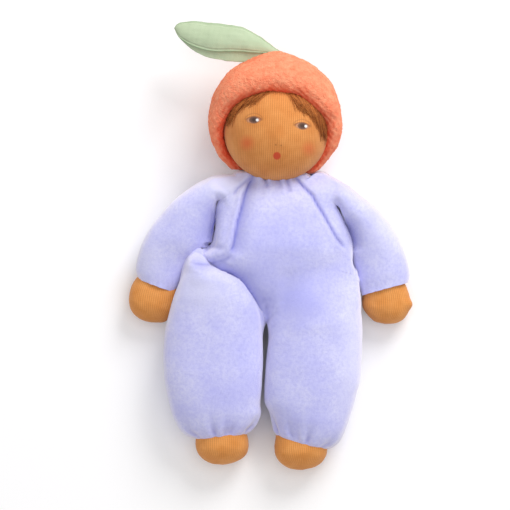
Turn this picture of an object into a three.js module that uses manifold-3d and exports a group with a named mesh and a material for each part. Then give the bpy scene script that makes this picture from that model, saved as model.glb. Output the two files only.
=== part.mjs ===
// A soft baby doll of the waldorf kind, lying on its back: velour suit, knitted head, hands and feet,
// terry hood with a padded leaf, and wool filling. Millimetres. +X is to the right seen from the front,
// +Y runs towards the crown of the head and +Z out of the chest.
// The origin is the middle of the flat on the suit's back, on the surface that the doll lies on.
import * as THREE from 'three';
import { mergeVertices } from 'three/addons/utils/BufferGeometryUtils.js';
import Module from 'manifold-3d';

const wasm = await Module();
wasm.setup();

const degrees = Math.PI / 180;

// Cloth and sewing
const velourThickness = 1.6;
const jerseyThickness = 1.2;
const terryThickness = 3.6;
const seamGap = 0.3;
const jointGap = 0.45;
const restFlatDepth = 0.5;
const cutOverrun = 200;
// How far a cuff's or hem's room runs past both its ends, and how far the wool stops short, as shares
// of the limb's length
const cuffOverrunShare = 0.03;
const woolSetbackShare = 0.005;

// Torso of the suit
const torsoTopY = 44.5;
const torsoBottomY = -56;
const torsoHalfWidth = 56;
const torsoDepth = 54;
const torsoNeckRise = 9;
const torsoSquareness = 2.3;
const sideSeamHeight = 26;
// Share of the way from bottom to top, of the half width, of the depth, of the rise at the neck
const torsoStationShares = [
  [0, 0.5, 0.62, 0.5],
  [0.08, 0.8, 0.84, 0],
  [0.21, 1, 0.95, 0],
  [0.31, 0.96, 0.98, 0],
  [0.41, 0.96, 1, 0],
  [0.51, 0.93, 1, 0],
  [0.61, 0.84, 0.98, 0],
  [0.71, 0.66, 0.95, 0.1],
  [0.82, 0.52, 0.89, 0.2],
  [0.91, 0.54, 0.81, 0.5],
  [0.965, 0.48, 0.73, 0.75],
  [1, 0.36, 0.64, 1],
];

// Neck and its thread
const neckPivotY = 47;
const neckPivotHeight = 30;
const neckBallRadius = 9;
const neckStemRadius = 6;
const neckStemReach = 20;
const neckThreadRadius = 1;
const neckTilt = 12 * degrees;

// Head, a ball of wool in knitted jersey
const headCentreY = 83.5;
const headCentreHeight = 38;
const headHalfWidth = 36.5;
const headHalfHeight = 35.5;
const headHalfDepth = 34;
const neckHoleRadius = 12;

// Hood
const hoodCentreX = -1;
const hoodCentreY = 90.3;
const hoodRadius = 46.6;
const hoodHalfDepth = 41;
const crownPeakHeight = 1.2;
const crownPeakRadius = 13;
// Where the hood's opening begins and ends and where its lower edge is, from the hood's centre: shares of
// its radius along the body and of its half depth upwards
const openingTopShares = [0.444, 0.512];
const openingBottomShares = [-0.757, -0.293];
const hoodBottomShare = -0.8;
const turnedHemTopRadius = 6.6;
const turnedHemSideRadius = 5;
const turnedHemBottomRadius = 2.6;

// Locks of mohair at the temples
const hairThickness = 2;
// From the head's centre and in size, shares of the head's half width and half height
const hairPlaceShares = { left: [-0.66, 0.58], right: [0.68, 0.55] };
const hairWidthShare = 0.36;
const hairLengthShare = 0.42;

// Leaf, two layers of velour sewn round a thin wadding
// From the hood's centre: shares of its radius to the side and along the body, of its half depth upwards
const leafBaseShares = [-0.022, 1.067, 0.048];
const leafAngle = 170.5 * degrees;
const leafRoll = 15 * degrees;
const leafLength = 72;
const leafHalfWidth = 13.4;
const leafHalfThickness = 3.4;
const leafRim = 1;
const leafLayerThickness = 1.2;
const leafBow = 4;
const leafSag = 3;
// Share of the length, of the half width, of the sag towards the hood
const leafStationShares = [
  [0, 0.2, 0],
  [0.09, 0.3, 0],
  [0.2, 0.58, 0],
  [0.35, 0.92, 0.25],
  [0.5, 1, 0.7],
  [0.64, 0.97, 1],
  [0.76, 0.8, 1],
  [0.88, 0.5, 0.6],
  [1, 0.08, 0],
];

// Arms. An angle runs from straight down the body out to the line from shoulder to fingertips,
// and the bow is what the arm's two ends turn away from that line.
const shoulderX = 46.7;
const shoulderYs = { left: 24.5, right: 28.8 };
const armAngles = { left: 23.6 * degrees, right: 27.6 * degrees };
const armBows = { left: 19.4 * degrees, right: 24.4 * degrees };
const armRootRadius = 22;
const armLength = 86;
const armHalfWidth = 22;
const armHalfThickness = 18;
const armSquareness = 2.1;
const sleeveEndShare = 0.73;
// Share of the length, of the half width, of the half thickness
const sleeveStationShares = [
  [0, 0.93, 1],
  [0.15, 0.96, 1],
  [0.3, 1, 1],
  [0.47, 0.98, 0.97],
  [0.59, 0.93, 0.9],
  [0.67, 0.82, 0.8],
  [sleeveEndShare, 0.66, 0.69],
];

// Hands
const handHalfWidth = 16.2;
const handHalfThickness = 12.5;
const handRootShare = 0.66;
// Share of the length, of the half width, of the half thickness, of the rise inside the cuff
const handStationShares = [
  [0.645, 0.72, 0.73, 1],
  [sleeveEndShare, 0.74, 0.75, 1],
  [0.77, 0.95, 0.94, 0.4],
  [0.85, 1, 1, 0],
  [0.92, 0.92, 0.9, 0],
  [0.97, 0.7, 0.68, 0],
  [1, 0.36, 0.36, 0],
];

// Tied-off arm roots, on which the arms swing
const shoulderWadRadius = 9;
const shoulderTailRadius = 4.5;
const armHipClearance = 2.8;
// The inner edge of an arm: share of the root radius away from the shoulder, share of the shoulder's
// distance from the middle
const armInnerEdgeShares = {
  left: [
    [0.7, 0.72],
    [1.07, 0.77],
    [1.4, 0.88],
    [1.75, 1.02],
    [2.1, 1.14],
    [3.6, 1.36],
  ],
  right: [
    [0.7, 0.74],
    [1.07, 0.83],
    [1.4, 0.97],
    [1.75, 1.08],
    [2.1, 1.22],
    [3.6, 1.4],
  ],
};

// Legs
const hipX = 30.5;
const hipY = -32;
const hipRadius = 26;
const hipHalfWidth = 29.7;
const hipInnerSquareness = 4;
const hipOuterSquareness = 2;
const crotchHalfWidth = 15;
const legLength = 120;
const legHalfWidths = { left: 35, right: 33.6 };
const legHalfThickness = 25;
const legGap = 0.8;
const legSquareness = 2.15;
const trouserEndShare = 0.84;
const ankleXs = { left: 26.3, right: 27.8 };
const ankleTilts = { left: 8.7 * degrees, right: -15 * degrees };
const ankleTurnShare = 0.6;
// Share of the length, of the half width, of the half thickness, of the way from thigh to ankle
const trouserStationShares = [
  [0.03, 0.7, 1, 0.42],
  [0.09, 0.84, 1, 0.25],
  [0.17, 0.95, 0.99, 0.07],
  [0.27, 0.99, 0.96, 0],
  [0.4, 1, 0.92, 0],
  [0.53, 0.97, 0.89, 0.08],
  [0.63, 0.92, 0.85, 0.2],
  [0.71, 0.84, 0.79, 0.27],
  [0.77, 0.72, 0.72, 0.45],
  [0.81, 0.6, 0.64, 0.74],
  [trouserEndShare, 0.51, 0.58, 1],
];
const sittingAngle = 80 * degrees;

// Feet
const footHalfWidth = 18;
const footHalfThickness = 15;
const footRootShare = 0.77;
// Share of the length, of the half width, of the half thickness, of the rise inside the hem
const footStationShares = [
  [0.75, 0.84, 0.82, 1],
  [trouserEndShare, 0.86, 0.82, 1],
  [0.87, 0.97, 0.96, 0.4],
  [0.91, 1, 1, 0],
  [0.96, 0.88, 0.88, 0],
  [0.985, 0.66, 0.68, 0],
  [1, 0.36, 0.36, 0],
];

// Squareness of a plain round section
const roundSection = 2;

// Facets round each form
const outerSides = 16;
const innerSides = 8;
const ballSides = 16;
const threadSides = 5;

const materials = {
  velour: new THREE.MeshStandardMaterial({ color: '#bfc0f2', roughness: 0.9, metalness: 0 }),
  jersey: new THREE.MeshStandardMaterial({ color: '#c5803f', roughness: 0.85, metalness: 0 }),
  terry: new THREE.MeshStandardMaterial({ color: '#f0805c', roughness: 0.95, metalness: 0 }),
  leafVelour: new THREE.MeshStandardMaterial({ color: '#b4d2ae', roughness: 0.9, metalness: 0 }),
  mohair: new THREE.MeshStandardMaterial({ color: '#9a5a24', roughness: 0.7, metalness: 0 }),
  wool: new THREE.MeshStandardMaterial({ color: '#efe6d2', roughness: 1, metalness: 0 }),
  thread: new THREE.MeshStandardMaterial({ color: '#d9d6ee', roughness: 0.8, metalness: 0 }),
};

const alongX = new THREE.Vector3(1, 0, 0);
const alongBody = new THREE.Vector3(0, 1, 0);
const upwards = new THREE.Vector3(0, 0, 1);

// Solids

const solidOf = (geometry) => {
  const bare = geometry.index ? geometry.toNonIndexed() : geometry.clone();
  bare.deleteAttribute('normal');
  bare.deleteAttribute('uv');
  const merged = mergeVertices(bare);
  return new wasm.Manifold(
    new wasm.Mesh({
      numProp: 3,
      vertProperties: new Float32Array(merged.attributes.position.array),
      triVerts: new Uint32Array(merged.index.array),
    }),
  );
};

const meshOf = (name, solid, material) => {
  const made = solid.getMesh();
  const geometry = new THREE.BufferGeometry();
  geometry.setAttribute('position', new THREE.BufferAttribute(made.vertProperties, 3));
  geometry.setIndex(new THREE.BufferAttribute(made.triVerts, 1));
  geometry.computeVertexNormals();
  const mesh = new THREE.Mesh(geometry, material);
  mesh.name = name;
  return mesh;
};

const largestPiece = (solid) =>
  solid.decompose().reduce((best, piece) => (piece.volume() > best.volume() ? piece : best));

const ellipsoid = (centre, halfSizes, sides) => {
  const geometry = new THREE.SphereGeometry(1, sides, Math.round(sides / 2));
  geometry.scale(halfSizes.x, halfSizes.y, halfSizes.z);
  geometry.translate(centre.x, centre.y, centre.z);
  return solidOf(geometry);
};

const ball = (centre, radius, sides) =>
  ellipsoid(centre, new THREE.Vector3(radius, radius, radius), sides);

// Facets cut inside the true radius, so a socket is widened until its facets clear that radius.
const roundRoom = (radius, sides) => radius / Math.cos(Math.PI / sides) ** 2;

const box = (low, high) => {
  const size = new THREE.Vector3().subVectors(high, low);
  const middle = new THREE.Vector3().addVectors(low, high).divideScalar(2);
  const geometry = new THREE.BoxGeometry(size.x, size.y, size.z);
  geometry.translate(middle.x, middle.y, middle.z);
  return solidOf(geometry);
};

// All space between two heights.
const layer = (low, high) =>
  box(
    new THREE.Vector3(-cutOverrun, -cutOverrun, low),
    new THREE.Vector3(cutOverrun, cutOverrun, high),
  );
const aboveHeight = (height) => layer(height, height + cutOverrun);

// Everything on the side of a plane that its normal points to.
const halfSpace = (point, normal) => {
  const geometry = new THREE.BoxGeometry(2 * cutOverrun, 2 * cutOverrun, cutOverrun);
  geometry.translate(0, 0, cutOverrun / 2);
  geometry.applyQuaternion(new THREE.Quaternion().setFromUnitVectors(upwards, normal));
  geometry.translate(point.x, point.y, point.z);
  return solidOf(geometry);
};

const rod = (from, to, radius, sides = innerSides) => {
  const along = new THREE.Vector3().subVectors(to, from);
  const geometry = new THREE.CylinderGeometry(radius, radius, along.length(), sides);
  geometry.translate(0, along.length() / 2, 0);
  const turn = new THREE.Quaternion().setFromUnitVectors(alongBody, along.clone().normalize());
  geometry.applyQuaternion(turn);
  geometry.translate(from.x, from.y, from.z);
  return solidOf(geometry);
};

const skinOf = (points, triangles) => {
  const geometry = new THREE.BufferGeometry().setFromPoints(points);
  geometry.setIndex(triangles);
  const solid = solidOf(geometry);
  if (solid.volume() > 0) return solid;
  geometry.setIndex(triangles.toReversed());
  return solidOf(geometry);
};

const bandTriangles = (firstRing, secondRing, sides) =>
  Array.from({ length: sides }, (_, side) => {
    const next = (side + 1) % sides;
    const a = firstRing * sides + side;
    const b = firstRing * sides + next;
    const c = secondRing * sides + next;
    const d = secondRing * sides + side;
    return [a, b, c, a, c, d];
  }).flat();

// A closed skin through rings of points, with a fan of triangles over each end.
const loft = (rings) => {
  const sides = rings[0].length;
  const points = rings.flat();
  const middleOf = (ring) =>
    ring.reduce((sum, p) => sum.add(p), new THREE.Vector3()).divideScalar(sides);
  const lastRing = (rings.length - 1) * sides;
  const triangles = rings.slice(1).flatMap((_, at) => bandTriangles(at, at + 1, sides));
  for (let side = 0; side < sides; side += 1) {
    const next = (side + 1) % sides;
    triangles.push(points.length, next, side);
    triangles.push(points.length + 1, lastRing + side, lastRing + next);
  }
  return skinOf([...points, middleOf(rings[0]), middleOf(rings[rings.length - 1])], triangles);
};

// A closed tube whose rings join end to end.
const loopLoft = (rings) => {
  const sides = rings[0].length;
  const triangles = rings.flatMap((_, at) => bandTriangles(at, (at + 1) % rings.length, sides));
  return skinOf(rings.flat(), triangles);
};

// One ring of a stuffed form: a rounded square section, wide along across and thick along up.
const sectionRing = (centre, across, up, halfWidth, halfThickness, squareness, sides) =>
  Array.from({ length: sides }, (_, side) => {
    const angle = (2 * Math.PI * side) / sides;
    const rounded = (value) => Math.sign(value) * Math.abs(value) ** (2 / squareness);
    return centre
      .clone()
      .addScaledVector(across, halfWidth * rounded(Math.cos(angle)))
      .addScaledVector(up, halfThickness * rounded(Math.sin(angle)));
  });

// Pivots

const sideOf = { left: -1, right: 1 };
const shoulderPoint = (name) =>
  new THREE.Vector3(sideOf[name] * shoulderX, shoulderYs[name], armRootRadius - restFlatDepth);
const hipPoint = (name) =>
  new THREE.Vector3(sideOf[name] * hipX, hipY, hipRadius - restFlatDepth);
const neckPoint = new THREE.Vector3(0, neckPivotY, neckPivotHeight);

// Hips

// The root of a leg is a barrel, round about the line through both hips, with full rounded ends.
const hipBarrel = (name, grow, sides, room = 1) => {
  const steps = sides / 2;
  const radius = (hipRadius + grow) * room;
  const halfLength = hipHalfWidth + grow;
  const profile = Array.from({ length: steps + 1 }, (_, step) => {
    const angle = Math.PI * (step / steps - 1 / 2);
    const outwards = Math.sin(angle) * sideOf[name] > 0;
    const squareness = outwards ? hipOuterSquareness : hipInnerSquareness;
    const rounded = (value) => Math.sign(value) * Math.abs(value) ** (2 / squareness);
    const onAxis = step === 0 || step === steps;
    const reach = onAxis ? 0 : radius * rounded(Math.cos(angle));
    return new THREE.Vector2(reach, halfLength * rounded(Math.sin(angle)));
  });
  const geometry = new THREE.LatheGeometry(profile, sides);
  geometry.rotateZ(-Math.PI / 2);
  const centre = hipPoint(name);
  geometry.translate(centre.x, centre.y, centre.z);
  return solidOf(geometry);
};

// Torso

// The suit's body as a pillow that narrows to the neck, drawn in by inset on every side.
const torsoPillow = (inset, sides) => {
  const span = torsoTopY - torsoBottomY - 2 * inset;
  const rings = torsoStationShares.map(([lengthShare, widthShare, depthShare, riseShare]) => {
    const halfDepth = (torsoDepth * depthShare) / 2;
    const centre = new THREE.Vector3(
      0,
      torsoBottomY + inset + span * lengthShare,
      halfDepth + torsoNeckRise * riseShare - restFlatDepth,
    );
    return sectionRing(
      centre,
      alongX,
      upwards,
      torsoHalfWidth * widthShare - inset,
      halfDepth - inset,
      torsoSquareness,
      sides,
    );
  });
  return loft(rings);
};

// The room in front of the belly that the thighs take when the doll sits.
const lapRoom = (grow) => {
  const thighTop = 2 * legHalfThickness - hipRadius + grow;
  const facing = new THREE.Vector3(0, -Math.sin(sittingAngle), -Math.cos(sittingAngle));
  const front = halfSpace(hipPoint('left').addScaledVector(facing, -thighTop), facing);
  return front.intersect(aboveHeight(hipRadius));
};

// Between the rounded inner ends of the two leg roots, the suit runs on down to the crotch.
const crotchRoom = (radius, halfWidth) => {
  const middle = new THREE.Vector3(0, hipY, hipRadius - restFlatDepth);
  return rod(
    middle.clone().addScaledVector(alongX, -halfWidth),
    middle.clone().addScaledVector(alongX, halfWidth),
    radius,
    ballSides,
  );
};

// The room that the inner edge of an arm takes beside the body when the arm swings forward.
const armSweep = (name, grow) => {
  const edge = armInnerEdgeShares[name].map(
    ([reachShare, awayShare]) =>
      new THREE.Vector2(reachShare * armRootRadius, awayShare * shoulderX - grow),
  );
  const last = edge.at(-1);
  const profile = [
    new THREE.Vector2(0, shoulderX),
    ...edge,
    new THREE.Vector2(last.x, 2 * shoulderX),
    new THREE.Vector2(0, 2 * shoulderX),
  ];
  const geometry = new THREE.LatheGeometry(profile, ballSides);
  geometry.rotateZ((-Math.PI / 2) * sideOf[name]);
  const centre = shoulderPoint(name);
  geometry.translate(0, centre.y, centre.z);
  return solidOf(geometry);
};

// The neck ball sits in a socket, under a shallow round recess in which its thread can tilt.
const neckSocket = (inset) => {
  const threadReach = neckBallRadius + seamGap + 2 * neckThreadRadius;
  const depth = threadReach * Math.sin(neckTilt) + neckThreadRadius + inset;
  const recess = rod(
    neckPoint.clone().addScaledVector(alongBody, -depth),
    neckPoint,
    roundRoom(threadReach + jointGap + inset, outerSides),
    outerSides,
  );
  const socketRadius = roundRoom(neckBallRadius + jointGap + inset, outerSides);
  return recess.add(ball(neckPoint, socketRadius, outerSides));
};

const torsoForm = (inset, sides) => {
  const pillow = torsoPillow(inset, sides);
  const grow = jointGap + inset;
  const aboveHips = pillow.intersect(halfSpace(new THREE.Vector3(0, hipY, 0), alongBody));
  const crotch = pillow.intersect(crotchRoom(hipRadius - inset, crotchHalfWidth));
  let torso = aboveHips.subtract(lapRoom(grow)).add(crotch);
  for (const name of Object.keys(sideOf)) {
    const shoulderRoom = roundRoom(armRootRadius + grow, ballSides);
    torso = torso
      .subtract(ball(shoulderPoint(name), shoulderRoom, ballSides))
      .subtract(armSweep(name, grow))
      .subtract(hipBarrel(name, grow, ballSides, roundRoom(1, ballSides)));
  }
  return torso.subtract(neckSocket(inset));
};

const suitShell = torsoForm(0, outerSides).subtract(torsoForm(velourThickness, innerSides));
const suitFront = largestPiece(suitShell.intersect(aboveHeight(sideSeamHeight + seamGap)));
const suitBack = largestPiece(suitShell.intersect(layer(0, sideSeamHeight)));
const torsoWool = largestPiece(
  torsoForm(velourThickness + seamGap, innerSides).intersect(
    aboveHeight(velourThickness + seamGap),
  ),
);

// Neck

const neckThread = loopLoft(
  Array.from({ length: outerSides }, (_, step) => {
    const angle = (2 * Math.PI * step) / outerSides;
    const outward = new THREE.Vector3(Math.cos(angle), 0, Math.sin(angle));
    const reach = neckBallRadius + seamGap + neckThreadRadius;
    const centre = neckPoint.clone().addScaledVector(outward, reach);
    return sectionRing(
      centre,
      outward,
      alongBody,
      neckThreadRadius,
      neckThreadRadius,
      roundSection,
      threadSides,
    );
  }),
);
const neckStalk = ball(neckPoint, neckBallRadius, innerSides).add(
  rod(neckPoint, neckPoint.clone().addScaledVector(alongBody, neckStemReach), neckStemRadius),
);

// Head

const headPoint = new THREE.Vector3(0, headCentreY, headCentreHeight);
const headForm = (inset, sides) =>
  ellipsoid(
    headPoint,
    new THREE.Vector3(headHalfWidth - inset, headHalfHeight - inset, headHalfDepth - inset),
    sides,
  );
const neckRoom = (grow) =>
  ball(neckPoint, roundRoom(neckBallRadius + grow, innerSides), innerSides).add(
    rod(
      neckPoint,
      neckPoint.clone().addScaledVector(alongBody, neckStemReach + grow),
      roundRoom(neckStemRadius + grow, innerSides),
    ),
  );
const neckHole = rod(
  neckPoint.clone().addScaledVector(alongBody, -neckBallRadius),
  neckPoint.clone().addScaledVector(alongBody, neckBallRadius),
  neckHoleRadius,
  ballSides,
);
const headSkin = headForm(0, ballSides)
  .subtract(headForm(jerseyThickness, ballSides))
  .subtract(neckHole);
const headWool = headForm(jerseyThickness + seamGap, ballSides)
  .subtract(neckRoom(jointGap))
  .subtract(neckHole);

// Hood

const hoodPoint = new THREE.Vector3(hoodCentreX, hoodCentreY, headCentreHeight);
const hoodForm = (inset, sides) =>
  ellipsoid(
    hoodPoint,
    new THREE.Vector3(hoodRadius - inset, hoodRadius - inset, hoodHalfDepth - inset),
    sides,
  );
const onHood = ([alongShare, upShare]) =>
  new THREE.Vector3(
    0,
    hoodCentreY + hoodRadius * alongShare,
    headCentreHeight + hoodHalfDepth * upShare,
  );
const openingPoint = onHood(openingTopShares);
const openingUp = openingPoint.clone().sub(onHood(openingBottomShares)).normalize();
const openingFacing = new THREE.Vector3(0, -openingUp.z, openingUp.y);
const inFrontOfOpening = halfSpace(openingPoint, openingFacing);
const hoodCentreDepth = new THREE.Vector3().subVectors(hoodPoint, openingPoint).dot(openingFacing);
const openingCentre = hoodPoint.clone().addScaledVector(openingFacing, -hoodCentreDepth);

const crownPeak = ball(
  hoodPoint.clone().addScaledVector(alongBody, hoodRadius - crownPeakRadius + crownPeakHeight),
  crownPeakRadius,
  innerSides,
);

// The turned hem follows the opening, thick over the brow and thin under the chin.
const turnedHemRadius = (high) =>
  turnedHemBottomRadius * (1 - high) ** 2 +
  2 * turnedHemSideRadius * high * (1 - high) +
  turnedHemTopRadius * high ** 2;
const turnedHem = loopLoft(
  Array.from({ length: ballSides }, (_, step) => {
    const angle = (2 * Math.PI * step) / ballSides;
    const outward = alongX
      .clone()
      .multiplyScalar(Math.cos(angle))
      .addScaledVector(openingUp, Math.sin(angle));
    const radius = turnedHemRadius((1 + Math.sin(angle)) / 2);
    const reach = Math.sqrt(hoodRadius ** 2 - hoodCentreDepth ** 2) - radius;
    const centre = openingCentre.clone().addScaledVector(outward, reach);
    return sectionRing(centre, outward, openingFacing, radius, radius, roundSection, innerSides);
  }),
);
const belowHood = halfSpace(onHood([hoodBottomShare, 0]), alongBody.clone().negate());
const hood = largestPiece(
  hoodForm(0, ballSides)
    .add(crownPeak)
    .subtract(hoodForm(terryThickness, outerSides))
    .subtract(inFrontOfOpening)
    .add(turnedHem)
    .subtract(headForm(-seamGap, ballSides))
    .subtract(belowHood)
    .intersect(aboveHeight(0)),
);

// Hair

const hairLock = ([sideShare, riseShare]) => {
  const place = new THREE.Vector3(
    headHalfWidth * sideShare,
    headCentreY + headHalfHeight * riseShare,
    2 * headCentreHeight,
  );
  const reach = new THREE.Vector3(
    headHalfWidth * hairWidthShare,
    headHalfHeight * hairLengthShare,
    headHalfDepth,
  );
  const region = ellipsoid(place, reach, innerSides);
  return largestPiece(
    headForm(-hairThickness - seamGap, ballSides)
      .subtract(headForm(-seamGap, ballSides))
      .intersect(region)
      .intersect(inFrontOfOpening)
      .subtract(turnedHem),
  );
};

// Leaf

const leafAlong = new THREE.Vector3(Math.cos(leafAngle), Math.sin(leafAngle), 0);
const towardsHood = new THREE.Vector3(-leafAlong.y, leafAlong.x, 0);
const leafAcross = towardsHood
  .clone()
  .multiplyScalar(Math.cos(leafRoll))
  .addScaledVector(upwards, Math.sin(leafRoll));
const leafUp = new THREE.Vector3().crossVectors(leafAcross, leafAlong).negate();
const [leafSideShare, leafAlongShare, leafUpShare] = leafBaseShares;
const leafBase = hoodPoint
  .clone()
  .addScaledVector(alongX, hoodRadius * leafSideShare)
  .addScaledVector(alongBody, hoodRadius * leafAlongShare)
  .addScaledVector(upwards, hoodHalfDepth * leafUpShare);
const leafMiddle = (lengthShare, sagShare, inset) =>
  leafBase
    .clone()
    .addScaledVector(leafAlong, inset + (leafLength - 2 * inset) * lengthShare)
    .addScaledVector(towardsHood, leafSag * sagShare)
    .addScaledVector(upwards, leafBow * Math.sin(Math.PI * lengthShare));

// The leaf as a flat cushion with a thin rim, drawn in by inset all round.
const leafCushion = (inset) =>
  loft(
    leafStationShares.map(([lengthShare, widthShare, sagShare]) => {
      const leastHalf = leafRim / 2 / (1 + inset);
      const swell = leafRim + (leafHalfThickness - leafRim) * widthShare - inset;
      return sectionRing(
        leafMiddle(lengthShare, sagShare, inset),
        leafAcross,
        leafUp,
        Math.max(leafHalfWidth * widthShare - inset, leastHalf),
        Math.max(swell, leastHalf),
        roundSection,
        innerSides,
      );
    }),
  );

// The room above the seam between the two layers, which follows the bow of the leaf.
const leafUpperRoom = (lift) =>
  loft(
    leafStationShares.map(([lengthShare, , sagShare]) => {
      const middle = leafMiddle(lengthShare, sagShare, -leafRim).addScaledVector(leafUp, lift);
      const reach = leafHalfWidth + leafRim;
      const rise = leafHalfThickness + leafBow;
      const near = middle.clone().addScaledVector(leafAcross, reach);
      const far = middle.clone().addScaledVector(leafAcross, -reach);
      return [
        far,
        near,
        near.clone().addScaledVector(leafUp, rise),
        far.clone().addScaledVector(leafUp, rise),
      ];
    }),
  );
const leafShell = leafCushion(0).subtract(leafCushion(leafLayerThickness));
const leafTop = largestPiece(leafShell.intersect(leafUpperRoom(seamGap / 2)));
const leafUnderside = largestPiece(leafShell.subtract(leafUpperRoom(-seamGap / 2)));
const leafWadding = leafCushion(leafLayerThickness + seamGap);

// Arms

const armPath = (name) => {
  const side = sideOf[name];
  const angle = armAngles[name];
  const bow = armBows[name];
  const heading = (turn) => new THREE.Vector3(side * Math.sin(turn), -Math.cos(turn), 0);
  const start = new THREE.Vector3(side * shoulderX, shoulderYs[name], 0);
  const end = start.clone().addScaledVector(heading(angle), armLength);
  const handle = armLength / 3;
  return new THREE.CubicBezierCurve3(
    start,
    start.clone().addScaledVector(heading(angle + bow), handle),
    end.clone().addScaledVector(heading(angle - bow), -handle),
    end,
  );
};

// What lies inside a cuff or an ankle hem is lifted off the surface by the cloth and its clearance.
const cuffRise = velourThickness + seamGap;

const armRings = (path, shares, halfWidth, halfThickness, inset, sides) =>
  shares.map(([lengthShare, widthShare, thicknessShare, riseShare = 0]) => {
    const reachShare = Math.min(lengthShare, 1 - inset / armLength);
    const tangent = path.getTangentAt(reachShare);
    const across = new THREE.Vector3(-tangent.y, tangent.x, 0);
    const thick = halfThickness * thicknessShare;
    const centre = path.getPointAt(reachShare);
    centre.z = thick + cuffRise * riseShare - restFlatDepth;
    return sectionRing(
      centre,
      across,
      upwards,
      halfWidth * widthShare - inset,
      thick - inset,
      armSquareness,
      sides,
    );
  });

const beyond = (path, lengthShare) =>
  halfSpace(path.getPointAt(lengthShare), path.getTangentAt(lengthShare));

// An upright column over an ellipse.
const column = (x, y, halfX, halfY) => {
  const outline = new THREE.Shape().absellipse(x, y, halfX, halfY, 0, 2 * Math.PI);
  const geometry = new THREE.ExtrudeGeometry(outline, {
    depth: 2 * cutOverrun,
    bevelEnabled: false,
    curveSegments: ballSides,
  });
  geometry.translate(0, 0, -cutOverrun);
  return solidOf(geometry);
};

// Seen from the front, an arm never lies over or under hip and thigh, so that it can be lifted.
const hipOutline = (name, inset) => {
  const side = sideOf[name];
  const grow = armHipClearance + inset;
  const thigh = legHalfWidths[name] + grow;
  const thighX = legHalfWidths[name] + legGap;
  return column(side * hipX, hipY, hipHalfWidth + grow, hipRadius + grow).add(
    column(side * thighX, hipY - legHalfWidths[name], thigh, thigh),
  );
};

const armForm = (name, inset, sides, rootSides) =>
  loft(
    armRings(armPath(name), sleeveStationShares, armHalfWidth, armHalfThickness, inset, sides),
  )
    .add(ball(shoulderPoint(name), armRootRadius - inset, rootSides))
    .subtract(hipOutline(name, inset));

// Inside the cuff a hand keeps clear of the sleeve's own wall too.
const handForm = (name, inset) => {
  const path = armPath(name);
  const inCuff = hipOutline(name, cuffRise + inset).subtract(beyond(path, sleeveEndShare));
  return loft(
    armRings(path, handStationShares, handHalfWidth, handHalfThickness, inset, innerSides),
  )
    .subtract(hipOutline(name, inset))
    .subtract(inCuff);
};

const makeArm = (name) => {
  const path = armPath(name);
  const pivot = shoulderPoint(name);
  const inward = new THREE.Vector3(-sideOf[name], 0, 0);
  const tailEnd = pivot.clone().addScaledVector(inward, armRootRadius);
  const tailRoom = rod(
    pivot,
    tailEnd.clone().addScaledVector(inward, armRootRadius),
    roundRoom(shoulderTailRadius + seamGap, innerSides),
  );
  const wadRoom = ball(pivot, roundRoom(shoulderWadRadius + seamGap, innerSides), innerSides);
  const wad = ball(pivot, shoulderWadRadius, innerSides).add(
    rod(pivot, tailEnd, shoulderTailRadius),
  );

  const [, cuffWidthShare, cuffThicknessShare] = sleeveStationShares.at(-1);
  const cuffRoom = loft(
    armRings(
      path,
      [
        [handRootShare - cuffOverrunShare, cuffWidthShare, cuffThicknessShare],
        [sleeveEndShare + cuffOverrunShare, cuffWidthShare, cuffThicknessShare],
      ],
      armHalfWidth,
      armHalfThickness,
      velourThickness,
      innerSides,
    ),
  ).subtract(hipOutline(name, velourThickness));
  const sleeve = largestPiece(
    armForm(name, 0, outerSides, ballSides)
      .subtract(armForm(name, velourThickness, innerSides, innerSides).add(cuffRoom))
      .subtract(beyond(path, sleeveEndShare))
      .subtract(tailRoom)
      .intersect(aboveHeight(0)),
  );
  const armWool = largestPiece(
    armForm(name, velourThickness + seamGap, innerSides, innerSides)
      .subtract(beyond(path, handRootShare - woolSetbackShare))
      .subtract(wadRoom)
      .subtract(tailRoom)
      .intersect(aboveHeight(velourThickness + seamGap)),
  );

  const handSide = beyond(path, handRootShare);
  const hand = largestPiece(
    handForm(name, 0)
      .subtract(handForm(name, jerseyThickness))
      .intersect(handSide)
      .intersect(aboveHeight(0)),
  );
  const handWool = largestPiece(
    handForm(name, jerseyThickness + seamGap)
      .intersect(handSide)
      .intersect(aboveHeight(jerseyThickness + seamGap)),
  );
  return { sleeve, armWool, hand, handWool, wad };
};

// Legs

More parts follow.
